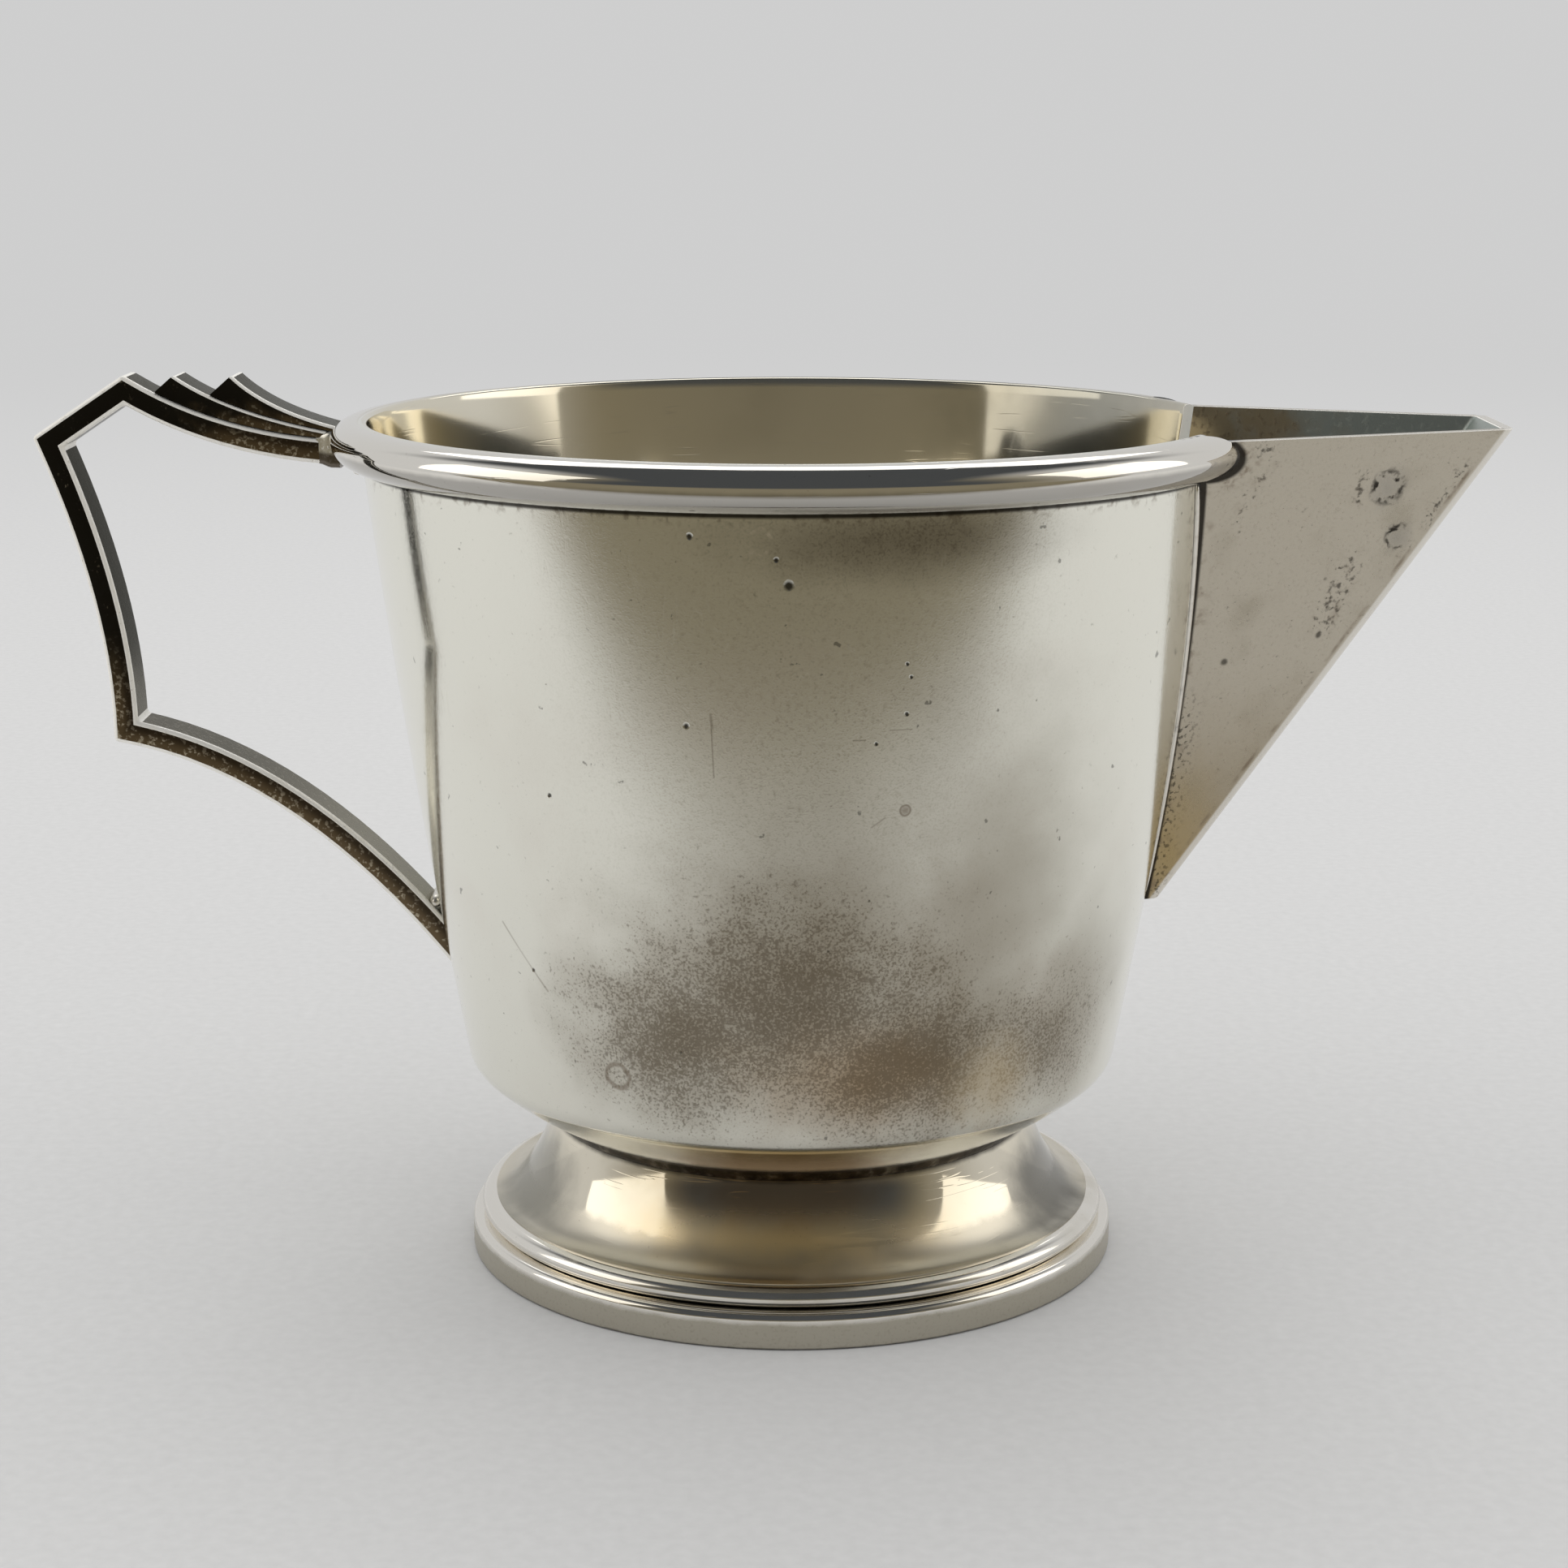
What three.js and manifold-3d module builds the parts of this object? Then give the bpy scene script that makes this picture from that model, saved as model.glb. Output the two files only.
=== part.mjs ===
// A small silver cream jug: a tapered cup on a flared foot, with a half-round rim moulding, a spout
// folded from one sheet, and a strap handle that carries a stepped thumb-piece.
// Millimetres, +Z up, the jug stands on z = 0, the spout points along +X and the handle along -X.
import * as THREE from 'three';
import { ConvexGeometry } from 'three/addons/geometries/ConvexGeometry.js';
import { mergeVertices } from 'three/addons/utils/BufferGeometryUtils.js';
import Module from 'manifold-3d';

// Cup, one sheet, turned
const RIM_HEIGHT = 70; // table to the top of the rim
const RIM_RADIUS = 35.2; // outside of the wall at the rim
const CUP_WALL = 0.8; // thickness of the sheet
const CUP_BOTTOM = 9.2; // table to the flat of the underside
const CUP_FLAT_RADIUS = 8.2; // flat disc in the middle of the underside
const CUP_BOTTOM_CURVE = 28; // radius of the rounded underside
const KNUCKLE_TILT = 40.5; // degrees, slope of the underside where it starts to turn up
const KNUCKLE_RADIUS = 2.6; // turn from the underside into the side
const SIDE_TILT = 79.5; // degrees, slope of the side just above the turn

// Rim moulding, half-round wire
const MOULDING_DEPTH = 2.4; // how far it stands out from the wall
const MOULDING_HEIGHT = 3.6;

// Spout, one folded sheet
const SPOUT_REACH = 57.75; // cup axis to the front panel at the lip
const SPOUT_DROP = 0.55; // top of the rim down to the lip
const SPOUT_LIP_WIDTH = 11; // front panel at the lip
const SPOUT_TIP_HEIGHT = 29.6; // table to the blunt tip at the bottom
const SPOUT_TIP_WIDTH = 1.8; // front panel at the tip
const SPOUT_TIP_STAND = 1.4; // how far the tip stands out from the wall
const SPOUT_SPLAY = 21.3; // degrees, each side plate in plan
const SPOUT_SHEET = 0.8; // thickness of the sheet
const LIP_FOLD = 1.3; // outside radius of the folds at the lip
const TIP_FOLD = 1.1; // outside radius of the folds at the tip

// Handle, one strap, sizes to its middle line
const STRAP_WIDTH = 4.6;
const STRAP_THICKNESS = 2.05;
const STRAP_CHAMFER = 0.4;
const STRAP_RIM_DROP = 2.85; // top of the rim down to the end at the rim
const TOP_BEND_REACH = 46.6; // control point of the sag between rim and peak
const TOP_BEND_DROP = 2.3;
const PEAK_REACH = 54; // cup axis to the peak of the strap
const PEAK_RISE = 2.2; // peak above the rim
const UPPER_CORNER_REACH = 60.3;
const UPPER_CORNER_DROP = 2;
const BACK_BEND_HEIGHT = 55; // control point of the bowed back bar
const LOWER_CORNER_REACH = 55;
const LOWER_CORNER_HEIGHT = 44.1;
const ARM_BEND_REACH = 41.2; // control point of the arched lower arm
const ARM_BEND_HEIGHT = 41.4;
const ARM_END_HEIGHT = 26.3; // table to the lower end at the wall

// Thumb-piece, two tapered leaves on the strap
const LEAF_PEAK_RISE = 3.4; // peaks above the rim
const LEAF_RAMP = 41; // degrees, slope of the end faces
const MIDDLE_PEAK_REACH = 49.9;
const MIDDLE_BEND_REACH = 45.3; // control point of the sag of the middle leaf
const MIDDLE_BEND_RISE = 0.2;
const INNER_PEAK_REACH = 45.2;
const INNER_BEND_REACH = 42.4; // control point of the sag of the inner leaf
const INNER_BEND_RISE = 0.6;
const LEAF_END = 0.4; // thickness of the thin ends at the rim
const LEAF_CHAMFER = 0.15;

// Foot, a spun shell with two applied wires
const NECK_RADIUS = 20.2; // outside of the neck at the cup
const NECK_LENGTH = 0.8; // upright collar at the top
const SKIRT_RADIUS = 25.2; // outside of the upright skirt at the bottom
const SKIRT_HEIGHT = 4.7; // table to the end of the flare
const FOOT_WALL = 0.8;
const BEAD_DEPTH = 1.2; // half-round wire, out from the skirt
const BEAD_HEIGHT = 1.4;
const RING_DEPTH = 2; // flat wire, out from the skirt
const RING_HEIGHT = 2.9;
const RING_ROUND = 0.6; // rounded upper edge of the flat wire
const WIRE_GAP = 0.3; // groove between the two wires

// Joints
const SOLDER_GAP = 0.3; // clearance of pieces cut to their neighbour
const SEAT_GAP = 0.15; // clearance of turned wires, stacked leaves and solder
const SOLDER_RADIUS = 0.35; // radius of the solder fillets

// Facets
const TURN_SEGMENTS = 60;
const ARC_STEPS = 5;
const CURVE_STEPS = 8;
const SEAM_STEPS = 20;
const SOLDER_SIDES = 6;

const wasm = await Module();
wasm.setup();
const { degToRad, lerp } = THREE.MathUtils;
const point = (x, y) => new THREE.Vector2(x, y);
const stand = SEAT_GAP + SOLDER_RADIUS; // middle of a solder fillet from the faces it joins
const overRim = RIM_HEIGHT + MOULDING_HEIGHT; // height that clears the rim, for cuts

// A closed mesh as a solid that can be cut, and back again
function toSolid(geometry) {
  const bare = geometry.clone();
  bare.deleteAttribute('normal');
  bare.deleteAttribute('uv');
  const merged = mergeVertices(bare);
  const vertProperties = new Float32Array(merged.attributes.position.array);
  const triVerts = new Uint32Array(merged.index.array);
  return new wasm.Manifold(new wasm.Mesh({ numProp: 3, vertProperties, triVerts }));
}

function toGeometry(solid) {
  const { vertProperties, triVerts } = solid.getMesh();
  const geometry = new THREE.BufferGeometry();
  geometry.setAttribute('position', new THREE.BufferAttribute(vertProperties, 3));
  geometry.setIndex(new THREE.BufferAttribute(triVerts, 1));
  geometry.computeVertexNormals();
  return geometry;
}

// Turns a profile of (radius, height) points round the Z axis; it climbs on its outside
function turned(profile) {
  return new THREE.LatheGeometry(profile, TURN_SEGMENTS).rotateX(Math.PI / 2);
}

function turnedRing(profile) {
  return turned([...profile, profile[0].clone()]);
}

// Flat outline of (x, z) points, thickened across Y with chamfered edges
function chamferedPlate(outline, width, chamfer) {
  const geometry = new THREE.ExtrudeGeometry(new THREE.Shape(outline), {
    depth: width - 2 * chamfer,
    bevelThickness: chamfer,
    bevelSize: chamfer,
    bevelOffset: -chamfer,
    bevelSegments: 1,
  });
  return geometry.translate(0, 0, chamfer - width / 2).rotateX(Math.PI / 2);
}

// Points of a curve bent once, from start to end
function bent(start, control, end) {
  return new THREE.QuadraticBezierCurve(start, control, end).getPoints(CURVE_STEPS);
}

// Points of an arc that leaves start at one slope and ends at another
function sweep(start, radius, fromTilt, toTilt) {
  const first = degToRad(fromTilt);
  const points = [];
  for (let i = 1; i <= ARC_STEPS; i += 1) {
    const tilt = degToRad(lerp(fromTilt, toTilt, i / ARC_STEPS));
    const across = radius * (Math.sin(tilt) - Math.sin(first));
    const up = radius * (Math.cos(first) - Math.cos(tilt));
    points.push(point(start.x + across, start.y + up));
  }
  return points;
}

// The chain moved sideways, to its left when the distance is positive
function shifted(chain, distance) {
  return chain.map((p, i) => {
    const before = p.clone().sub(chain[Math.max(i - 1, 0)]).normalize();
    const after = chain[Math.min(i + 1, chain.length - 1)].clone().sub(p).normalize();
    const along = before.clone().add(after).normalize();
    const run = i === 0 ? after : before;
    return point(-along.y, along.x).multiplyScalar(distance / along.dot(run)).add(p);
  });
}

// First place where chain a crosses chain b
function crossing(a, b) {
  for (let i = 0; i + 1 < a.length; i += 1) {
    for (let j = 0; j + 1 < b.length; j += 1) {
      const u = a[i + 1].clone().sub(a[i]);
      const v = b[j + 1].clone().sub(b[j]);
      const w = b[j].clone().sub(a[i]);
      const s = w.cross(v) / u.cross(v);
      const t = w.cross(u) / u.cross(v);
      if (s >= 0 && s <= 1 && t >= 0 && t <= 1) {
        return { place: a[i].clone().addScaledVector(u, s), onB: j };
      }
    }
  }
  throw new Error('these two outlines do not meet');
}

const mirrored = (chain) => chain.map((p) => point(-p.x, p.y));

// Cup: half outline from the flat of the underside to the rim, moved inwards by inset
function cupOutline(inset) {
  const start = point(CUP_FLAT_RADIUS, CUP_BOTTOM + inset);
  const under = [start, ...sweep(start, CUP_BOTTOM_CURVE - inset, 0, KNUCKLE_TILT)];
  const knuckle = sweep(under.at(-1), KNUCKLE_RADIUS - inset, KNUCKLE_TILT, SIDE_TILT);
  const foot = knuckle.at(-1);
  const rim = point(RIM_RADIUS - inset, RIM_HEIGHT);
  const half = (rim.y - foot.y) / 2;
  const control = point(foot.x + half / Math.tan(degToRad(SIDE_TILT)), foot.y + half);
  return [...under, ...knuckle, ...bent(foot, control, rim).slice(1)];
}

function radiusAt(outline, z) {
  return crossing([point(0, z), point(2 * RIM_RADIUS, z)], outline).place.x;
}

function undersideAt(outline, radius) {
  return crossing([point(radius, 0), point(radius, RIM_HEIGHT)], outline).place.y;
}

const cupOuter = cupOutline(0);
const solderLine = cupOutline(-stand);

function cupSolid() {
  const inner = cupOutline(CUP_WALL).reverse();
  const profile = [point(0, CUP_BOTTOM), ...cupOuter, ...inner, point(0, CUP_BOTTOM + CUP_WALL)];
  return toSolid(turned(profile));
}

// The room that the cup takes up, with clearance, for cutting its neighbours
function cupRoom() {
  const outline = cupOutline(-SOLDER_GAP);
  const bottom = point(0, outline[0].y);
  const profile = [bottom, ...outline, point(outline.at(-1).x, overRim), point(0, overRim)];
  return toSolid(turned(profile));
}

// Rim moulding: half an ellipse on the wall; grow gives its room for cutting neighbours
function mouldingProfile(grow) {
  const middle = RIM_HEIGHT - MOULDING_HEIGHT / 2;
  const wall = cupOutline(-SEAT_GAP);
  const low = RIM_HEIGHT - MOULDING_HEIGHT;
  const profile = [];
  for (let i = 0; i <= 2 * ARC_STEPS; i += 1) {
    const turn = Math.PI * (i / (2 * ARC_STEPS) - 0.5);
    const rise = (MOULDING_HEIGHT / 2 + grow) * Math.sin(turn);
    const out = (MOULDING_DEPTH - SEAT_GAP + grow) * Math.cos(turn);
    const foot = lerp(radiusAt(wall, low), wall.at(-1).x, (rise / MOULDING_HEIGHT) + 0.5);
    profile.push(point(foot + out, middle + rise));
  }
  return profile;
}

// Spout: the wedge inside its three outer planes, each moved out by grow
const spoutTop = RIM_HEIGHT - SPOUT_DROP;
const spoutRun = spoutTop - SPOUT_TIP_HEIGHT;
const tipReach = radiusAt(cupOuter, SPOUT_TIP_HEIGHT) + SPOUT_TIP_STAND;
const splay = Math.tan(degToRad(SPOUT_SPLAY));
const frontLean = (SPOUT_REACH - tipReach) / spoutRun;
const widthLean = (SPOUT_LIP_WIDTH - SPOUT_TIP_WIDTH) / 2 / spoutRun;
const frontStretch = Math.hypot(1, frontLean);
const sideStretch = Math.hypot(1, splay, widthLean + frontLean * splay);

const frontAt = (z) => lerp(tipReach, SPOUT_REACH, (z - SPOUT_TIP_HEIGHT) / spoutRun);
const halfFrontAt = (z) => SPOUT_TIP_WIDTH / 2 + widthLean * (z - SPOUT_TIP_HEIGHT);

function halfWidthAt(x, z, grow) {
  return halfFrontAt(z) + (frontAt(z) - x) * splay + grow * sideStretch;
}

// Plan section of the wedge, a trapezium with its two front corners folded round
function spoutSection(z, grow) {
  const root = RIM_RADIUS / 2;
  const front = frontAt(z) + grow * frontStretch;
  const fold = lerp(TIP_FOLD, LIP_FOLD, (z - SPOUT_TIP_HEIGHT) / spoutRun);
  const slant = Math.hypot(1, splay);
  const widest = halfWidthAt(front, z, grow) / (slant - splay);
  const radius = Math.min(Math.max(fold + grow, SEAT_GAP), widest);
  const centre = halfWidthAt(front - radius, z, grow) - radius * slant;
  const points = [];
  for (const side of [-1, 1]) {
    points.push(new THREE.Vector3(root, side * halfWidthAt(root, z, grow), z));
    for (let i = 0; i <= ARC_STEPS; i += 1) {
      const turn = degToRad(90 - SPOUT_SPLAY) * (i / ARC_STEPS);
      const x = front - radius + radius * Math.cos(turn);
      points.push(new THREE.Vector3(x, side * (centre + radius * Math.sin(turn)), z));
    }
  }
  return points;
}

function spoutWedge(grow, top) {
  const bottom = SPOUT_TIP_HEIGHT - grow;
  return toSolid(new ConvexGeometry([...spoutSection(bottom, grow), ...spoutSection(top, grow)]));
}

function bodyCup() {
  return toGeometry(cupSolid().subtract(spoutWedge(-SPOUT_SHEET, overRim)));
}

function rimMoulding() {
  const ring = toSolid(turnedRing(mouldingProfile(0)));
  return toGeometry(ring.subtract(spoutWedge(SOLDER_GAP, overRim)));
}

function spoutShell() {
  const folded = spoutWedge(0, spoutTop).subtract(spoutWedge(-SPOUT_SHEET, overRim));
  return toGeometry(folded.subtract(cupRoom()));
}

// Solder fillet along one spout seam, where a side plate meets the wall
function seamPoint(z, side) {
  const radius = radiusAt(solderLine, z);
  const reach = halfFrontAt(z) + frontAt(z) * splay + stand * sideStretch;
  const turn = Math.asin(reach / (radius * Math.hypot(1, splay))) - degToRad(SPOUT_SPLAY);
  return new THREE.Vector3(radius * Math.cos(turn), side * radius * Math.sin(turn), z);
}

function spoutSolder(side) {
  const high = RIM_HEIGHT - MOULDING_HEIGHT - stand;
  const low = SPOUT_TIP_HEIGHT + stand;
  const path = [];
  for (let i = 0; i <= ARC_STEPS; i += 1) {
    path.push(seamPoint(lerp(high, low, i / ARC_STEPS), side));
  }
  const round = new THREE.Shape().absarc(0, 0, SOLDER_RADIUS, 0, 2 * Math.PI);
  return new THREE.ExtrudeGeometry(round, {
    steps: SEAM_STEPS,
    curveSegments: SOLDER_SIDES / 2,
    extrudePath: new THREE.CatmullRomCurve3(path),
  });
}

// Handle: middle line of the strap, from inside the rim moulding to inside the cup wall
function strapLine() {
  const rimEnd = point(-RIM_RADIUS - MOULDING_DEPTH / 2, RIM_HEIGHT - STRAP_RIM_DROP);
  const sag = point(-TOP_BEND_REACH, RIM_HEIGHT - TOP_BEND_DROP);
  const peak = point(-PEAK_REACH, RIM_HEIGHT + PEAK_RISE);
  const upperCorner = point(-UPPER_CORNER_REACH, RIM_HEIGHT - UPPER_CORNER_DROP);
  const bow = point(-LOWER_CORNER_REACH, BACK_BEND_HEIGHT);
  const lowerCorner = point(-LOWER_CORNER_REACH, LOWER_CORNER_HEIGHT);
  const arch = point(-ARM_BEND_REACH, ARM_BEND_HEIGHT);
  const armEnd = point(-radiusAt(cupOuter, ARM_END_HEIGHT), ARM_END_HEIGHT);
  const intoWall = armEnd.clone().sub(arch).setLength(2 * STRAP_THICKNESS).add(armEnd);
  const top = bent(rimEnd, sag, peak);
  const back = bent(upperCorner, bow, lowerCorner);
  const arm = bent(lowerCorner, arch, armEnd).slice(1);
  return { top, whole: [...top, ...back, ...arm, intoWall], arm };
}

const strap = strapLine();

// What the handle is fitted to: the cup and the rim moulding, with clearance
function handleRoom() {
  return cupRoom().add(toSolid(turnedRing(mouldingProfile(SOLDER_GAP))));
}

function fittedPlate(outline, chamfer) {
  const plate = toSolid(chamferedPlate(outline, STRAP_WIDTH, chamfer));
  return toGeometry(plate.subtract(handleRoom()));
}

function handleStrap() {
  const outside = shifted(strap.whole, -STRAP_THICKNESS / 2);
  const inside = shifted(strap.whole, STRAP_THICKNESS / 2);
  return fittedPlate([...outside, ...inside.reverse()], STRAP_CHAMFER);
}

// Thumb leaves: each lies on a seat, rises up a ramp to its peak and thins out to the rim
function leafTop(seat, peakReach, bendReach, bendRise) {
  const end = point(seat[0].x, seat[0].y + LEAF_END);
  const bend = point(-bendReach, RIM_HEIGHT + bendRise);
  return bent(end, bend, point(-peakReach, RIM_HEIGHT + LEAF_PEAK_RISE));
}

function thumbLeaf(top, seat) {
  const peak = top.at(-1);
  const slope = degToRad(LEAF_RAMP);
  const ramp = point(-Math.cos(slope), -Math.sin(slope)).setLength(PEAK_REACH).add(peak);
  const toe = crossing([peak, ramp], seat);
  return fittedPlate([...top, toe.place, ...seat.slice(0, toe.onB + 1).reverse()], LEAF_CHAMFER);
}

const middleSeat = shifted(strap.top, -STRAP_THICKNESS / 2 - SEAT_GAP);
const middleTop = leafTop(middleSeat, MIDDLE_PEAK_REACH, MIDDLE_BEND_REACH, MIDDLE_BEND_RISE);
const innerSeat = shifted(middleTop, -SEAT_GAP);
const innerTop = leafTop(innerSeat, INNER_PEAK_REACH, INNER_BEND_REACH, INNER_BEND_RISE);

// Solder fillets of the handle, lying across the strap in its two corners with the cup
function solderBar(place) {
  const length = STRAP_WIDTH - 2 * SOLDER_RADIUS;
  const bar = new THREE.CapsuleGeometry(SOLDER_RADIUS, length, SOLDER_SIDES / 2, SOLDER_SIDES);
  return bar.translate(place.x, 0, place.y);
}

function handleSolderUpper() {
  const underStrap = RIM_HEIGHT - STRAP_RIM_DROP - STRAP_THICKNESS / 2;
  const height = Math.min(underStrap, RIM_HEIGHT - MOULDING_HEIGHT) - stand;
  return solderBar(point(-radiusAt(solderLine, height), height));
}

function handleSolderLower() {
  const aboveArm = shifted(strap.arm, STRAP_THICKNESS / 2 + stand);
  return solderBar(crossing(aboveArm, mirrored(solderLine)).place);
}

// Foot: collar, hollow-curved flare and upright skirt, then the same line inside
function footShell() {
  const collar = undersideAt(cupOuter, NECK_RADIUS) - SOLDER_GAP - NECK_LENGTH;
  const line = [point(SKIRT_RADIUS, 0)];
  for (let i = 0; i <= CURVE_STEPS; i += 1) {
    const turn = (Math.PI / 2) * (i / CURVE_STEPS);
    const r = SKIRT_RADIUS - (SKIRT_RADIUS - NECK_RADIUS) * Math.sin(turn);
    line.push(point(r, collar - (collar - SKIRT_HEIGHT) * Math.cos(turn)));
  }
  const inside = shifted(line, FOOT_WALL).reverse();
  const rims = [NECK_RADIUS, NECK_RADIUS - FOOT_WALL];
  const top = rims.map((r) => point(r, undersideAt(cupOutline(-SOLDER_GAP), r)));
  return turnedRing([...line, ...top, ...inside]);
}

function footRing() {
  const inner = SKIRT_RADIUS + SEAT_GAP;
  const outer = SKIRT_RADIUS + RING_DEPTH;
  const profile = [point(inner, 0), point(outer, 0)];
  for (let i = 0; i <= ARC_STEPS; i += 1) {
    const turn = (Math.PI / 2) * (i / ARC_STEPS);
    const r = outer - RING_ROUND * (1 - Math.cos(turn));
    profile.push(point(r, RING_HEIGHT - RING_ROUND * (1 - Math.sin(turn))));
  }
  return turnedRing([...profile, point(inner, RING_HEIGHT)]);
}

function footBead() {
  const middle = RING_HEIGHT + WIRE_GAP + BEAD_HEIGHT / 2;
  const inner = SKIRT_RADIUS + SEAT_GAP;
  const profile = [];
  for (let i = 0; i <= 2 * ARC_STEPS; i += 1) {
    const turn = Math.PI * (i / (2 * ARC_STEPS) - 0.5);
    const out = (BEAD_DEPTH - SEAT_GAP) * Math.cos(turn);
    profile.push(point(inner + out, middle + (BEAD_HEIGHT / 2) * Math.sin(turn)));
  }
  return turnedRing(profile);
}

function footSolder() {
  const r = NECK_RADIUS + stand;
  const z = undersideAt(solderLine, r);
  const profile = [];
  for (let i = 0; i < SOLDER_SIDES; i += 1) {
    const turn = (2 * Math.PI * i) / SOLDER_SIDES;
    profile.push(point(r + SOLDER_RADIUS * Math.cos(turn), z + SOLDER_RADIUS * Math.sin(turn)));
  }
  return turnedRing(profile);
}

// Finishes, all bare silver
const SATIN = { color: 0xb3a998, roughness: 0.34, metalness: 1 };
const POLISHED = { color: 0xc4bcae, roughness: 0.14, metalness: 1 };
const DARKENED = { color: 0x6f685d, roughness: 0.34, metalness: 1 };
const SOLDER = { color: 0xd6d0c4, roughness: 0.4, metalness: 1 };

const jug = new THREE.Group();

function addPiece(name, geometry, finish) {
  const piece = new THREE.Mesh(geometry, new THREE.MeshStandardMaterial(finish));
  piece.name = name;
  jug.add(piece);
}

addPiece('body_cup', bodyCup(), SATIN);
addPiece('rim_moulding', rimMoulding(), POLISHED);
addPiece('spout_shell', spoutShell(), SATIN);
addPiece('spout_solder_near', spoutSolder(-1), SOLDER);
addPiece('spout_solder_far', spoutSolder(1), SOLDER);
addPiece('handle_strap', handleStrap(), DARKENED);
addPiece('thumb_leaf_middle', thumbLeaf(middleTop, middleSeat), DARKENED);
addPiece('thumb_leaf_inner', thumbLeaf(innerTop, innerSeat), DARKENED);
addPiece('handle_solder_upper', handleSolderUpper(), SOLDER);
addPiece('handle_solder_lower', handleSolderLower(), SOLDER);
addPiece('foot_shell', footShell(), POLISHED);
addPiece('foot_bead', footBead(), POLISHED);
addPiece('foot_ring', footRing(), POLISHED);
addPiece('foot_solder', footSolder(), SOLDER);

// The origin lies on the table, under the middle of the jug's length
const extent = new THREE.Box3().setFromObject(jug);
jug.position.x = -(extent.min.x + extent.max.x) / 2;

export default jug;
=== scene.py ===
# %% [markdown]
# # A silver cream jug
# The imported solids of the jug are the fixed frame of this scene: they hold its sizes and say where each piece lies.
# Polished metal shows every facet of a coarse mesh, so each solid is stood for by a finer and smoother piece that
# is made here from the same sizes. A silversmith thinks in millimetres, so sizes are written in millimetres about
# the axis of the cup, and one helper turns them into metres in the frame.

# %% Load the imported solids
import math
from functools import partialmethod

import bmesh
import bpy
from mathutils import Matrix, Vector


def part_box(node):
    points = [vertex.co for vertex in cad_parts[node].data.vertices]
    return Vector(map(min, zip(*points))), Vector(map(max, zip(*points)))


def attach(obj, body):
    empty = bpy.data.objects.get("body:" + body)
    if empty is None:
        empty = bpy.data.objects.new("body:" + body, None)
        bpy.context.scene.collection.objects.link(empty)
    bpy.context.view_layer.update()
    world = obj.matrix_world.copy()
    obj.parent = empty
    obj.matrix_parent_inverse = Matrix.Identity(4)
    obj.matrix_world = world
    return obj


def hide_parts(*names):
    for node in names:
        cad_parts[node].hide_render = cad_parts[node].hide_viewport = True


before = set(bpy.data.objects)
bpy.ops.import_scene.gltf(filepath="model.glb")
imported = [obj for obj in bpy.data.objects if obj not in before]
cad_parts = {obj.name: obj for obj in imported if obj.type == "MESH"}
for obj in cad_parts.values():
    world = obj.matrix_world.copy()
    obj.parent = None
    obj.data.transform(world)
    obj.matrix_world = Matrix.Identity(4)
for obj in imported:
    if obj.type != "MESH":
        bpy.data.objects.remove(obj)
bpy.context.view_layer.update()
MM = 0.001
ring_low, ring_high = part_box("foot_ring")
AXIS_X = (ring_low.x + ring_high.x) / 2
print(f"{len(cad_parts)} solids; the axis of the cup is at x = {AXIS_X / MM:.2f} mm")

# %% [markdown]
# ## Camera
# The jug was photographed from its side, from a hand's width above the rim and rather close, so the rim and the
# foot show as open ovals. The place and the lens below were found by fitting both ovals. A longer lens from further
# away would flatten them, so the real distance matters more than the framing.

# %% Camera
SENSOR, LENS = 36, 72.48
CAMERA_AWAY, CAMERA_UP, CAMERA_DIP, CAMERA_TURN = 0.2578, 0.0957, 12.36, 0.14

scene = bpy.context.scene
lens = bpy.data.cameras.new("camera")
lens.sensor_width, lens.lens = SENSOR, LENS
camera = bpy.data.objects.new("camera", lens)
camera.location = (AXIS_X, -CAMERA_AWAY, CAMERA_UP)
camera.rotation_euler = (math.radians(90 - CAMERA_DIP), 0, math.radians(CAMERA_TURN))
scene.collection.objects.link(camera)
scene.camera = camera
scene.view_settings.view_transform = "Standard"
print(f"camera {CAMERA_AWAY:.3f} m from the axis, lens {LENS} mm")

# %% [markdown]
# ## Nodes without clutter
# Every finish here is built from nodes. A Graph is one node tree, and a Value is the output of one of its nodes.
# Values can be added, multiplied and eased as if they were numbers, and each sum becomes a math node of its own.
# That keeps a long chain of nodes as readable as a formula.

# %% Node helpers
class Value:
    def __init__(self, graph, socket):
        self.graph, self.socket = graph, socket

    def math(self, operation, other=0.0, clamp=False):
        return self.graph.math(operation, self, other, clamp)

    def __rsub__(self, number):
        return self.graph.math("SUBTRACT", number, self)

    __add__, __sub__ = partialmethod(math, "ADD"), partialmethod(math, "SUBTRACT")
    __mul__, __truediv__ = partialmethod(math, "MULTIPLY"), partialmethod(math, "DIVIDE")
    __abs__ = partialmethod(math, "ABSOLUTE")

    def eased(self, start, end, low=0.0, high=1.0):
        limits = {"Value": self, "From Min": start, "From Max": end, "To Min": low, "To Max": high}
        return self.graph.node("MapRange", limits, interpolation_type="SMOOTHSTEP")[0]


class Outputs:
    def __init__(self, graph, sockets):
        self.graph, self.sockets = graph, sockets

    def __getitem__(self, name):
        return Value(self.graph, self.sockets[name])


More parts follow.
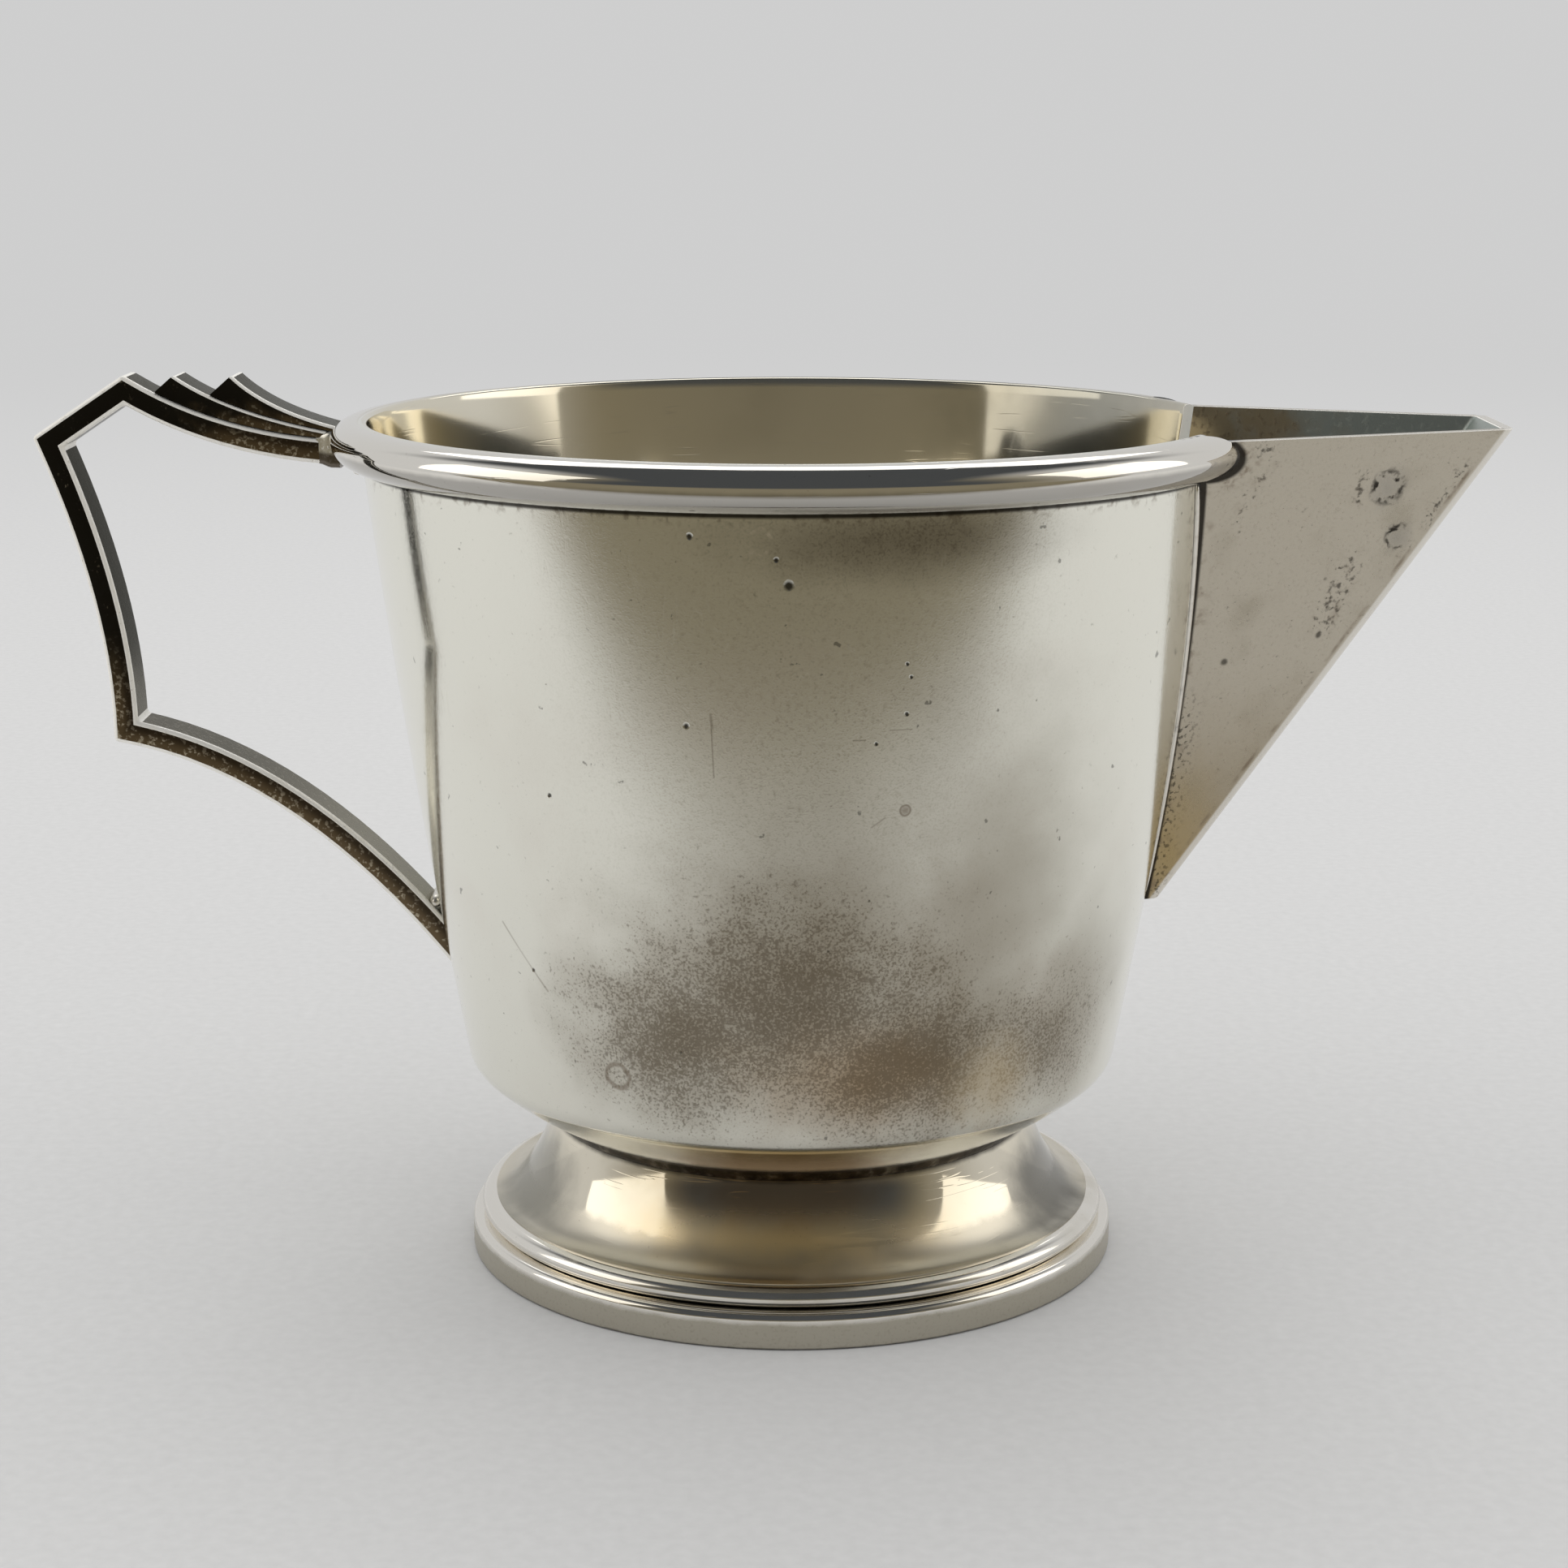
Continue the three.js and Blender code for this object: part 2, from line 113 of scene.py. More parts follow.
class Graph:
    def __init__(self, tree):
        self.tree = tree

    def feed(self, socket, value):
        if isinstance(value, Value):
            self.tree.links.new(value.socket, socket)
        elif socket.type == "RGBA":
            socket.default_value = (*value, 1)
        elif socket.type == "VECTOR" and not isinstance(value, tuple):
            socket.default_value = (value,) * 3
        else:
            socket.default_value = value

    def node(self, kind, inputs=None, **settings):
        made = self.tree.nodes.new("ShaderNode" + kind)
        for name, value in settings.items():
            setattr(made, name, value)
        for name, value in (inputs or {}).items():
            self.feed(made.inputs[name], value)
        return Outputs(self, made.outputs)

    def math(self, operation, a, b=0.0, clamp=False):
        return self.node("Math", {0: a, 1: b}, operation=operation, use_clamp=clamp)[0]

    def vector(self, operation, a, b=(0, 0, 0)):
        return self.node("VectorMath", {0: a, 1: b}, operation=operation)

    def mixed(self, share, a, b):
        return self.node("Mix", {0: share, 6: a, 7: b}, data_type="RGBA")[2]


def most_of(most, *others):
    for other in others:
        most = most.math("MAXIMUM", other)
    return most


print("node trees can now be written as sums")

# %% [markdown]
# ## Table and light
# Silver has hardly any colour of its own: it shows what stands round it. The jug stands on a pale table between two
# large soft windows, under a dark ceiling that leaves the sides of the room pale. That puts pale thirds at the left
# and right of the cup and a dark band along the top of the rim, and bright metal needs such dark things to look
# bright. Away from the jug, the table turns into a plain backdrop of the same pale grey, for the camera and for
# reflections alone, so that no horizon shows. On the side of the camera the room is dim, and the middle of the cup
# shows that as a taupe shade. Just in front of the jug, the table also shows reflections a dim glow: painted shade,
# not the table's lit colour.

# %% Table
BACKDROP, DIM_FRONT, DARK_ROOM = (0.62, 0.62, 0.62), (0.21, 0.185, 0.13), (0.06, 0.064, 0.068)
TABLE_SHADE, TABLE_PALE = (0.55, 0.55, 0.55), (0.63, 0.63, 0.63)
TABLE_GRAIN, TABLE_ROUGH, TABLE_GLOSS, HALF_TABLE, TABLE_DROP = 900, 0.85, 0.2, 6.0, 0.04
CORNER_SIGNS = ((-1, -1), (1, -1), (1, 1), (-1, 1))
FAR_FADE, FRONT_FADE = (0.25, 1.0), (-0.075, -0.14)


def table_finish():
    finish = bpy.data.materials.new("pale table")
    finish.use_nodes = True
    graph = Graph(finish.node_tree)
    coords = graph.node("TexCoord")["Object"]
    grain = graph.node("TexNoise", {"Vector": coords, "Scale": TABLE_GRAIN, "Detail": 3})["Fac"]
    shader = graph.tree.nodes["Principled BSDF"]
    graph.feed(shader.inputs["Base Color"], graph.mixed(grain, TABLE_SHADE, TABLE_PALE))
    shader.inputs["Roughness"].default_value = TABLE_ROUGH
    shader.inputs["Specular IOR Level"].default_value = TABLE_GLOSS
    ray = graph.node("LightPath")
    seen = most_of(ray["Is Camera Ray"], ray["Is Glossy Ray"])
    far = graph.vector("LENGTH", coords)["Value"].eased(*FAR_FADE) * seen
    backdrop = graph.node("Emission", {"Color": BACKDROP})[0]
    blend = graph.node("MixShader", {0: far, 1: Value(graph, shader.outputs[0]), 2: backdrop})[0]
    # Painted shade: in reflections, the table just in front of the jug glows dim instead of showing its lit colour.
    ahead = graph.node("SeparateXYZ", {0: coords})["Y"].eased(*FRONT_FADE) * ray["Is Glossy Ray"]
    dim_front_reflection = graph.node("Emission", {"Color": DIM_FRONT})[0]
    blend = graph.node("MixShader", {0: ahead, 1: blend, 2: dim_front_reflection})[0]
    graph.feed(graph.tree.nodes["Material Output"].inputs["Surface"], blend)
    return finish


table_mesh = bpy.data.meshes.new("table")
table_corners = [(x * HALF_TABLE, y * HALF_TABLE, -TABLE_DROP * MM) for x, y in CORNER_SIGNS]
table_mesh.from_pydata(table_corners, [], [(0, 1, 2, 3)])
table_mesh.materials.append(table_finish())
table = bpy.data.objects.new("table", table_mesh)
scene.collection.objects.link(table)
print(f"table {2 * HALF_TABLE:.0f} m wide")

# %% Windows and room
AIM = Vector((0, 0, 0.045))
WHITE = (1.0, 1.0, 1.0)
WINDOWS = (("window left", (-0.85, -0.15, 0.45), (0.72, 0.62), 1.2, (1.0, 0.96, 0.88)),
           ("window right", (0.86, 0.02, 0.45), (0.66, 0.62), 1.1, (1.0, 0.95, 0.86)),
           ("ceiling lamp", (0.0, 0.80, 0.92), (1.0, 0.5), 1.75, WHITE))

for name, place, size, power, colour in WINDOWS:
    light = bpy.data.lights.new(name, "AREA")
    light.shape = "RECTANGLE"
    light.size, light.size_y = size
    light.energy, light.color = power, colour
    window = bpy.data.objects.new(name, light)
    window.location = place
    window.rotation_euler = (AIM - Vector(place)).to_track_quat("-Z", "Y").to_euler()
    scene.collection.objects.link(window)

scene.world = bpy.data.worlds.new("room")
scene.world.use_nodes = True
room = Graph(scene.world.node_tree)
toward = room.node("SeparateXYZ", {0: room.node("TexCoord")["Generated"]})
walls = room.mixed(toward["Y"].eased(0.25, -0.6), BACKDROP, DIM_FRONT)
overhead = toward["Z"].eased(0.2, 0.4) * toward["Y"].eased(0.7, 0.45) * abs(toward["X"]).eased(0.7, 0.5)
behind_camera = toward["Z"].eased(0.1, 0.24) * toward["Y"].eased(-0.35, -0.7)
walls = room.mixed(most_of(overhead, behind_camera), walls, DARK_ROOM)
room_ray = room.node("LightPath")
room_light = room.mixed(room_ray["Is Glossy Ray"], WHITE, walls)
room_colour = room.mixed(room_ray["Is Camera Ray"], room_light, BACKDROP)
room.feed(room.tree.nodes["Background"].inputs["Color"], room_colour)
print(f"{len(WINDOWS)} windows and lamps, room of {len(room.tree.nodes)} nodes")

# %% [markdown]
# ## Sizes
# These are the sizes of the solids, in millimetres. The cup is one turned sheet: a flat disc, a wide round
# underside, a tight turn and a side that opens slightly as it rises. Writing the outline as formulas gives as many
# points as a smooth mirror needs.

# %% Sizes of the cup
RIM_HEIGHT, RIM_RADIUS, CUP_WALL = 70.0, 35.2, 0.8
CUP_BOTTOM, CUP_FLAT_RADIUS, CUP_BOTTOM_CURVE = 9.2, 8.2, 28.0
KNUCKLE_TILT, KNUCKLE_RADIUS, SIDE_TILT = 40.5, 2.6, 79.5
MOULDING_DEPTH, MOULDING_HEIGHT = 2.4, 3.6
ROUND_STEPS, UNDERSIDE_STEPS, KNUCKLE_STEPS = 256, 24, 14


def swept(start, radius, from_tilt, to_tilt, steps):
    first = math.radians(from_tilt)
    points = []
    for i in range(1, steps + 1):
        tilt = math.radians(from_tilt + (to_tilt - from_tilt) * i / steps)
        across = radius * (math.sin(tilt) - math.sin(first))
        points.append((start[0] + across, start[1] + radius * (math.cos(first) - math.cos(tilt))))
    return points


def cup_underside(inset):
    flat = (CUP_FLAT_RADIUS, CUP_BOTTOM + inset)
    under = [flat, *swept(flat, CUP_BOTTOM_CURVE - inset, 0, KNUCKLE_TILT, UNDERSIDE_STEPS)]
    return under + swept(under[-1], KNUCKLE_RADIUS - inset, KNUCKLE_TILT, SIDE_TILT, KNUCKLE_STEPS)


def wall_radius(z, inset=0.0):
    low_r, low_z = cup_underside(inset)[-1]
    bend_r = low_r + (RIM_HEIGHT - low_z) / 2 / math.tan(math.radians(SIDE_TILT))
    t = (z - low_z) / (RIM_HEIGHT - low_z)
    return (1 - t) ** 2 * low_r + 2 * t * (1 - t) * bend_r + t * t * (RIM_RADIUS - inset)


print("the wall turns up at radius {:.2f} mm, height {:.2f} mm".format(*cup_underside(0)[-1]))

# %% Sizes of the spout
SPOUT_TOP, SPOUT_TIP = RIM_HEIGHT - 0.55, 29.6
SPOUT_REACH, SPOUT_TIP_STAND = 57.75, 1.4
SPOUT_LIP_WIDTH, SPOUT_TIP_WIDTH = 11.0, 1.8
SPOUT_SPLAY, SPOUT_SHEET = math.radians(21.3), 0.8
LIP_FOLD, TIP_FOLD = 1.3, 1.1

spout_run = SPOUT_TOP - SPOUT_TIP
tip_reach = wall_radius(SPOUT_TIP) + SPOUT_TIP_STAND
splay = math.tan(SPOUT_SPLAY)
front_lean = (SPOUT_REACH - tip_reach) / spout_run
width_lean = (SPOUT_LIP_WIDTH - SPOUT_TIP_WIDTH) / 2 / spout_run
front_stretch = math.hypot(1, front_lean)
side_stretch = math.hypot(1, splay, width_lean + front_lean * splay)


def spout_front(z):
    return tip_reach + front_lean * (z - SPOUT_TIP)


def spout_half_width(x, z, grow):
    half_front = SPOUT_TIP_WIDTH / 2 + width_lean * (z - SPOUT_TIP)
    return half_front + (spout_front(z) - x) * splay + grow * side_stretch


def seam_angle(radius, z, grow):
    reach = spout_half_width(0, z, grow)
    return math.asin(min(1, reach / (radius * math.hypot(1, splay)))) - SPOUT_SPLAY


print(f"spout seam {math.degrees(seam_angle(RIM_RADIUS, RIM_HEIGHT, 0)):.1f} degrees from the front at the rim")

# %% [markdown]
# ## From points to pieces
# A piece is a list of corners and faces. One helper welds doubled corners, turns all faces outwards, shades the
# surface smoothly except across sharp edges, and ties the piece to the frame: it rides on the jug's one body and
# hides the solid that it stands for.

# %% Piece helpers
WELD = 0.0005
BAR_SIDES, BAR_TAPER = 12, 4


def spot(corner):
    return (corner[0] * MM + AXIS_X, corner[1] * MM, corner[2] * MM)


def around(radius, turn, z):
    return (radius * math.cos(turn), radius * math.sin(turn), z)


def quads(rows, columns, closed=False):
    last = columns if closed else columns - 1
    faces = []
    for row in range(rows - 1):
        for column in range(last):
            beside = (column + 1) % columns
            low, high = row * columns, (row + 1) * columns
            faces.append((low + column, low + beside, high + beside, high + column))
    return faces


def build_piece(name, corners, faces, stands_for, paint=None, crease=32):
    mesh = bpy.data.meshes.new(name)
    mesh.from_pydata([spot(c) for c in corners], [], faces)
    if paint:
        mesh.polygons.foreach_set("material_index", paint)
    shape = bmesh.new()
    shape.from_mesh(mesh)
    bmesh.ops.remove_doubles(shape, verts=shape.verts, dist=WELD * MM)
    bmesh.ops.recalc_face_normals(shape, faces=shape.faces)
    shape.to_mesh(mesh)
    shape.free()
    mesh.shade_smooth()
    mesh.set_sharp_from_angle(angle=math.radians(crease))
    piece = bpy.data.objects.new(name, mesh)
    scene.collection.objects.link(piece)
    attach(piece, "root")
    if stands_for:
        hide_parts(stands_for)
    print(f"{name}: {len(mesh.polygons)} faces")
    return piece


def turned_piece(name, outline, stands_for):
    profile = [*outline, outline[0]]
    corners = [around(r, 2 * math.pi * i / ROUND_STEPS, z) for r, z in profile for i in range(ROUND_STEPS)]
    return build_piece(name, corners, quads(len(profile), ROUND_STEPS, closed=True), stands_for)


def solder_bar(name, line, across, thick, stands_for):
    corners = []
    for i, (place, side, up) in enumerate(line):
        ends = min(i, len(line) - 1 - i) / BAR_TAPER
        swell = math.sqrt(max(0.0, 1 - (1 - min(1, ends)) ** 2))
        for k in range(BAR_SIDES):
            turn = 2 * math.pi * k / BAR_SIDES
            offset = side * (across * swell * math.cos(turn)) + up * (thick * swell * math.sin(turn))
            corners.append(tuple(place + offset))
    faces = quads(len(line), BAR_SIDES, closed=True)
    return build_piece(name, corners, faces, stands_for, crease=60)


print("pieces can be built, turned and drawn as bars")

# %% [markdown]
# ## Cup
# The cup was raised or spun from one sheet and then cut open in front, behind the spout. The saw did not run quite
# true: the cut is flush with the near plate, and at the far plate a ledge of the wall was left standing. A Boolean
# would do the cut, but it leaves long thin faces that spoil a mirror. Here each row of the turned surface simply
# starts and ends at the opening, and below the spout the rows close into full circles. The outside is satin, and
# the inside is a second, brighter material.

# %% Cup
NOTCH_FOOT, NOTCH_START, NOTCH_LEDGE, FAR_LEDGE, RIM_ROUND = 30.1, 30.5, 0.1, 9.3, 0.25
WALL_ROWS, LOWER_ROWS, LIP_ROWS = 64, 14, 10
OUTSIDE, INSIDE, EDGE = 0, 1, 2


def opening(radius, z):
    near = seam_angle(radius, z, -SPOUT_SHEET - NOTCH_LEDGE)
    return min(near, math.asin(FAR_LEDGE / radius)), near


def cup_rows():
    rise = RIM_HEIGHT - RIM_ROUND - NOTCH_START
    levels = [NOTCH_START + rise * i / WALL_ROWS for i in range(WALL_ROWS + 1)]

    def side(inset):
        under = [(0.0, CUP_BOTTOM + inset), *cup_underside(inset)]
        low = under[-1][1]
        lower = [low + (NOTCH_FOOT - low) * i / LOWER_ROWS for i in range(1, LOWER_ROWS + 1)]
        closed = [(r, z, 0.0, 0.0) for r, z in under] + [(wall_radius(z, inset), z, 0.0, 0.0) for z in lower]
        opened = [(wall_radius(z, inset), z, *opening(wall_radius(z, inset), z)) for z in levels]
        return closed, opened

    outer_closed, outer_open = side(0)
    inner_closed, inner_open = side(CUP_WALL)
    lip = []
    for i in range(1, LIP_ROWS):
        turn = math.pi * i / LIP_ROWS
        r = RIM_RADIUS - CUP_WALL / 2 + CUP_WALL / 2 * math.cos(turn)
        z = RIM_HEIGHT - RIM_ROUND + RIM_ROUND * math.sin(turn)
        lip.append((r, z, *opening(r, z)))
    rows = outer_closed + outer_open + lip + inner_open[::-1] + inner_closed[::-1]
    return rows, len(outer_closed), len(outer_open), len(lip)


def build_cup():
    rows, first, count, lip = cup_rows()
    width = ROUND_STEPS + 1
    corners = []
    for r, z, far, near in rows:
        for i in range(width):
            corners.append(around(r, far + (2 * math.pi - far - near) * i / ROUND_STEPS, z))
    faces = quads(len(rows), width)
    paint = [INSIDE if i // ROUND_STEPS >= first + count + lip // 2 else OUTSIDE for i in range(len(faces))]
    mate = 2 * first + 2 * count + lip - 1
    for column in (0, ROUND_STEPS):
        for row in range(first - 1, first + count - 1):
            ring = [row, row + 1, mate - row - 1, mate - row]
            faces.append(tuple(r * width + column for r in ring))
        top = range(first + count - 1, first + count + lip + 1)
        faces.append(tuple(r * width + column for r in top))
    paint += [EDGE] * (len(faces) - len(paint))
    return build_piece("cup", corners, faces, "body_cup", paint)


cup = build_cup()

# %% [markdown]
# ## Rim moulding
# A half-round wire was drawn, bent round the rim and soldered to the outside of the wall. It stops at the two side
# plates of the spout. The section below is half an ellipse whose flat side lies a little inside the wall, and each
# point of the section runs round the cup from one plate to the other.

# %% Rim moulding
MOULDING_STEPS, MOULDING_SINK, PLATE_GAP = 24, 0.2, 0.06
MOULDING_BACK = (RIM_HEIGHT - 0.3, RIM_HEIGHT - MOULDING_HEIGHT + 0.1)


def build_rim_moulding():
    section = []
    for i in range(MOULDING_STEPS + 1):
        turn = math.pi * (i / MOULDING_STEPS - 0.5)
        z = RIM_HEIGHT - MOULDING_HEIGHT / 2 + MOULDING_HEIGHT / 2 * math.sin(turn)
        section.append((wall_radius(z) + MOULDING_DEPTH * math.cos(turn), z))
    section += [(wall_radius(z) - MOULDING_SINK, z) for z in MOULDING_BACK]
    corners = []
    for i in range(ROUND_STEPS + 1):
        for r, z in section:
            end = seam_angle(r, z, PLATE_GAP)
            corners.append(around(r, end + (2 * math.pi - 2 * end) * i / ROUND_STEPS, z))
    faces = quads(ROUND_STEPS + 1, len(section), closed=True)
    last = ROUND_STEPS * len(section)
    faces += [tuple(range(len(section))), tuple(range(last, last + len(section)))]
    return build_piece("rim_wire", corners, faces, "rim_moulding")


rim_wire = build_rim_moulding()

# %% [markdown]
# ## Spout
# The spout is one sheet, scored and folded into two side plates and a narrow front panel that widens towards the
# lip. Each level of the spout is a plan section: seam, side plate, fold, front panel, fold, side plate, seam.
# Stacking the sections gives the outer skin, a second stack one sheet further in gives the inner skin, and strips
# close the lip and the two seams. Columns crowd together beside the folds, so that the flat plates stay flat in
# reflections.

# %% Spout
PLATE_SHARES = (0.0, 0.1, 0.2, 0.3, 0.4, 0.5, 0.6, 0.7, 0.8, 0.9, 0.96, 0.99)
PANEL_SHARES, FOLD_STEPS, SPOUT_ROWS = (0.1, 1, 2, 3), 8, 48
TIGHTEST_FOLD, WIDEST_FOLD_SHARE, SEAM_SINK = 0.3, 0.95, 0.1


def spout_section(z, grow):
    share = (z - SPOUT_TIP) / spout_run
    fold = max(TIP_FOLD + (LIP_FOLD - TIP_FOLD) * share + grow, TIGHTEST_FOLD)
    front = spout_front(z) + grow * front_stretch
    slant = math.hypot(1, splay)
    fold = min(fold, WIDEST_FOLD_SHARE * spout_half_width(front, z, grow) / (slant - splay))
    centre = spout_half_width(front - fold, z, grow) - fold * slant
    radius = wall_radius(z) - SEAM_SINK
    turn = seam_angle(radius, z, grow)
    seam = Vector((radius * math.cos(turn), radius * math.sin(turn)))
    first = math.radians(90) - SPOUT_SPLAY
    bend = [first * (1 - i / FOLD_STEPS) for i in range(FOLD_STEPS + 1)]
    arc = [Vector((front - fold + fold * math.cos(a), centre + fold * math.sin(a))) for a in bend]
    plate = [seam.lerp(arc[0], share) for share in PLATE_SHARES]
    half = [(p.x, p.y, z) for p in plate + arc]
    panel = [(front, centre * (1 - k / 3), z) for k in PANEL_SHARES]
    mirrored = [(x, -y, z) for x, y, z in (half + panel[:-1])[::-1]]
    return half + panel + mirrored


def build_spout():
    corners = []
    for grow, low in ((0, SPOUT_TIP), (-SPOUT_SHEET, SPOUT_TIP + SPOUT_SHEET)):
        for i in range(SPOUT_ROWS + 1):
            corners += spout_section(low + (SPOUT_TOP - low) * i / SPOUT_ROWS, grow)
    width = len(corners) // (2 * SPOUT_ROWS + 2)
    rows = SPOUT_ROWS + 1
    skin = quads(rows, width)
    inner = rows * width
    faces = skin + [tuple(inner + c for c in face) for face in skin]
    paint = [OUTSIDE] * len(skin) + [INSIDE] * len(skin)
    top = SPOUT_ROWS * width
    strips = [(top + c, top + c + 1, inner + top + c + 1, inner + top + c) for c in range(width - 1)]
    for column in (0, width - 1):
        for row in range(SPOUT_ROWS):
            a, b = row * width + column, (row + 1) * width + column
            strips.append((a, b, inner + b, inner + a))
    strips += [(c, c + 1, inner + c + 1, inner + c) for c in range(width - 1)]
    strips.append(tuple(inner + c for c in range(width)))
    paint += [OUTSIDE] * len(strips)
    return build_piece("spout", corners, faces + strips, "spout_shell", paint)


spout = build_spout()

# %% [markdown]
# ## Rounding the arrises
# No real edge is perfectly sharp, and the thin bright line along a rounded edge tells the eye that something is
# metal. This helper bevels every edge that is sharper than a given angle, gives the new faces their own material,
# so that worn edges can be brighter, and weighs normals by face area, so that flat faces stay flat.

# %% Arris helper
SPOUT_ARRIS, CUP_ARRIS, STILL_SHARP = 0.14, 0.28, 60


def round_arrises(piece, width, sharper_than, paint, upper_only=False):
    shape = bmesh.new()
    shape.from_mesh(piece.data)
    limit = math.radians(sharper_than)
    edges = [e for e in shape.edges if len(e.link_faces) == 2 and e.calc_face_angle() > limit]
    if upper_only:
        across = shape.verts.layers.float["across"]
        edges = [e for e in edges if all(v[across] > 0.5 for v in e.verts)]
    bmesh.ops.bevel(shape, geom=edges, offset=width * MM, offset_type="OFFSET", segments=3, profile=0.5,
                    affect="EDGES", clamp_overlap=True, material=paint)
    shape.to_mesh(piece.data)
    shape.free()
    piece.data.shade_smooth()
    piece.data.set_sharp_from_angle(angle=math.radians(STILL_SHARP))
    weigh = piece.modifiers.new("flat faces first", "WEIGHTED_NORMAL")
    weigh.keep_sharp = True
    print(f"{piece.name}: {len(edges)} edges rounded to {width} mm")


round_arrises(spout, SPOUT_ARRIS, sharper_than=50, paint=EDGE)
round_arrises(cup, CUP_ARRIS, sharper_than=60, paint=EDGE)

# %% [markdown]
# ## Spout solder
# Where a side plate meets the wall, the smith ran a thin line of solder and filed it almost flat. It shows as a
# narrow pale band beside the dark seam. A bar of flat oval section follows the seam on the wall.

# %% Spout solder
SEAM_STEPS, SEAM_LIFT, SEAM_OUT, SEAM_ACROSS, SEAM_THICK = 40, 0.2, 0.42, 0.36, 0.2


def seam_line(side):
    line = []
    high, low = MOULDING_BACK[1], SPOUT_TIP + SEAM_LIFT
    for i in range(SEAM_STEPS + 1):
        z = high + (low - high) * i / SEAM_STEPS
        radius = wall_radius(z)
        turn = seam_angle(radius, z, SEAM_OUT) * side
        outward = Vector((math.cos(turn), math.sin(turn), 0))
        across = Vector((-math.sin(turn), math.cos(turn), 0))
        line.append((Vector((radius * outward.x, radius * outward.y, z)), across, outward))
    return line


seam_near = solder_bar("seam_solder_near", seam_line(-1), SEAM_ACROSS, SEAM_THICK, "spout_solder_near")
seam_far = solder_bar("seam_solder_far", seam_line(1), SEAM_ACROSS, SEAM_THICK, "spout_solder_far")

# %% [markdown]
# ## Handle
# The handle is one flat strap, bent over a stake: it leaves the rim, rises to a peak, drops to a corner, runs down
# the back, turns at a second corner and sweeps in under the cup. Two tapered leaves are soldered on top of it and
# make the stepped thumb-piece. Each of these is a strip between an upper and a lower line, given the width of the
# strap, so one function builds all three.

# %% Handle sizes
STRAP_WIDTH, STRAP_THICKNESS = 4.6, 2.05
STRAP_RIM_DROP, STRAP_ARRIS, LEAF_ARRIS = 2.85, 0.34, 0.24
TOP_BEND, PEAK, UPPER_CORNER = (-46.6, 67.7), (-54.0, 72.2), (-60.3, 68.0)
BACK_BEND, LOWER_CORNER = (-55.0, 55.0), (-55.0, 44.1)
ARM_BEND, ARM_END_HEIGHT, ARM_OVERRUN, ARM_BITE, ARM_ROWS = (-41.2, 41.4), 26.3, 4, 0.35, 18
STRAP_TUCK = Vector((1.4, 0))
TOP_STEPS, BACK_STEPS, ARM_STEPS, SEAT_STEPS, LEAF_STEPS = 12, 14, 40, 40, 14
WORN = 1
LEAF_PEAK_HEIGHT, LEAF_RAMP, LEAF_END, SEAT_GAP = 73.4, math.radians(41), 0.4, 0.08
MIDDLE_BEND, MIDDLE_PEAK = (-45.3, 70.2), (-49.9, LEAF_PEAK_HEIGHT)
INNER_BEND, INNER_PEAK = (-42.4, 70.6), (-45.2, LEAF_PEAK_HEIGHT)


def bent(start, control, end, steps):
    a, b, c = Vector(start), Vector(control), Vector(end)
    shares = [i / steps for i in range(steps + 1)]
    return [a * (1 - t) ** 2 + b * 2 * t * (1 - t) + c * t * t for t in shares]


def shifted(chain, distance):
    moved = []
    for i, p in enumerate(chain):
        before = (p - chain[max(i - 1, 0)]).normalized()
        after = (chain[min(i + 1, len(chain) - 1)] - p).normalized()
        along = (before + after).normalized()
        run = after if i == 0 else before
        moved.append(p + Vector((-along.y, along.x)) * (distance / along.dot(run)))
    return moved


def resampled(chain, count):
    runs = [0.0]
    for a, b in zip(chain, chain[1:]):
        runs.append(runs[-1] + (b - a).length)
    points = []
    for i in range(count):
        goal = runs[-1] * i / (count - 1)
        k = max(j for j in range(len(chain) - 1) if runs[j] <= goal + 1e-9)
        points.append(chain[k].lerp(chain[k + 1], (goal - runs[k]) / (runs[k + 1] - runs[k])))
    return points


def up_to_wall(chain):
    depth = [-p.x - wall_radius(p.y) + ARM_BITE for p in chain]
    for i in range(len(chain) - 1):
        if depth[i] > 0 >= depth[i + 1]:
            return chain[:i + 1] + [chain[i].lerp(chain[i + 1], depth[i] / (depth[i] - depth[i + 1]))]
    return chain


print(f"strap {STRAP_WIDTH} mm wide, {STRAP_THICKNESS} mm thick")

# %% Handle strap and thumb leaves
def strip_piece(name, upper, lower, stands_for):
    half = STRAP_WIDTH / 2
    corners = []
    for a, b in zip(upper, lower):
        corners += [(a.x, -half, a.y), (a.x, half, a.y), (b.x, half, b.y), (b.x, -half, b.y)]
    last = len(corners) - 4
    faces = quads(len(upper), 4, closed=True) + [(0, 1, 2, 3), (last, last + 1, last + 2, last + 3)]
    piece = build_piece(name, corners, faces, stands_for)
    across = piece.data.attributes.new("across", "FLOAT", "POINT")
    across.data.foreach_set("value", [1.0, 1.0, 0.0, 0.0] * len(upper))
    return piece


rim_end = Vector((-RIM_RADIUS - MOULDING_DEPTH / 2, RIM_HEIGHT - STRAP_RIM_DROP))
strap_top = bent(rim_end, TOP_BEND, PEAK, TOP_STEPS)
strap_back = bent(UPPER_CORNER, BACK_BEND, LOWER_CORNER, BACK_STEPS)
arm_end = Vector((-wall_radius(ARM_END_HEIGHT), ARM_END_HEIGHT))
into_wall = arm_end + (arm_end - Vector(ARM_BEND)).normalized() * ARM_OVERRUN
strap_arm = bent(LOWER_CORNER, ARM_BEND, arm_end, ARM_STEPS)[1:] + [into_wall]
strap_line = [rim_end + STRAP_TUCK] + strap_top + strap_back + strap_arm
knee = len(strap_top) + len(strap_back)
outside_line = shifted(strap_line, -STRAP_THICKNESS / 2)
inside_line = shifted(strap_line, STRAP_THICKNESS / 2)
outside_arm = resampled(up_to_wall(outside_line[knee:]), ARM_ROWS)
inside_arm = resampled(up_to_wall(inside_line[knee:]), ARM_ROWS)
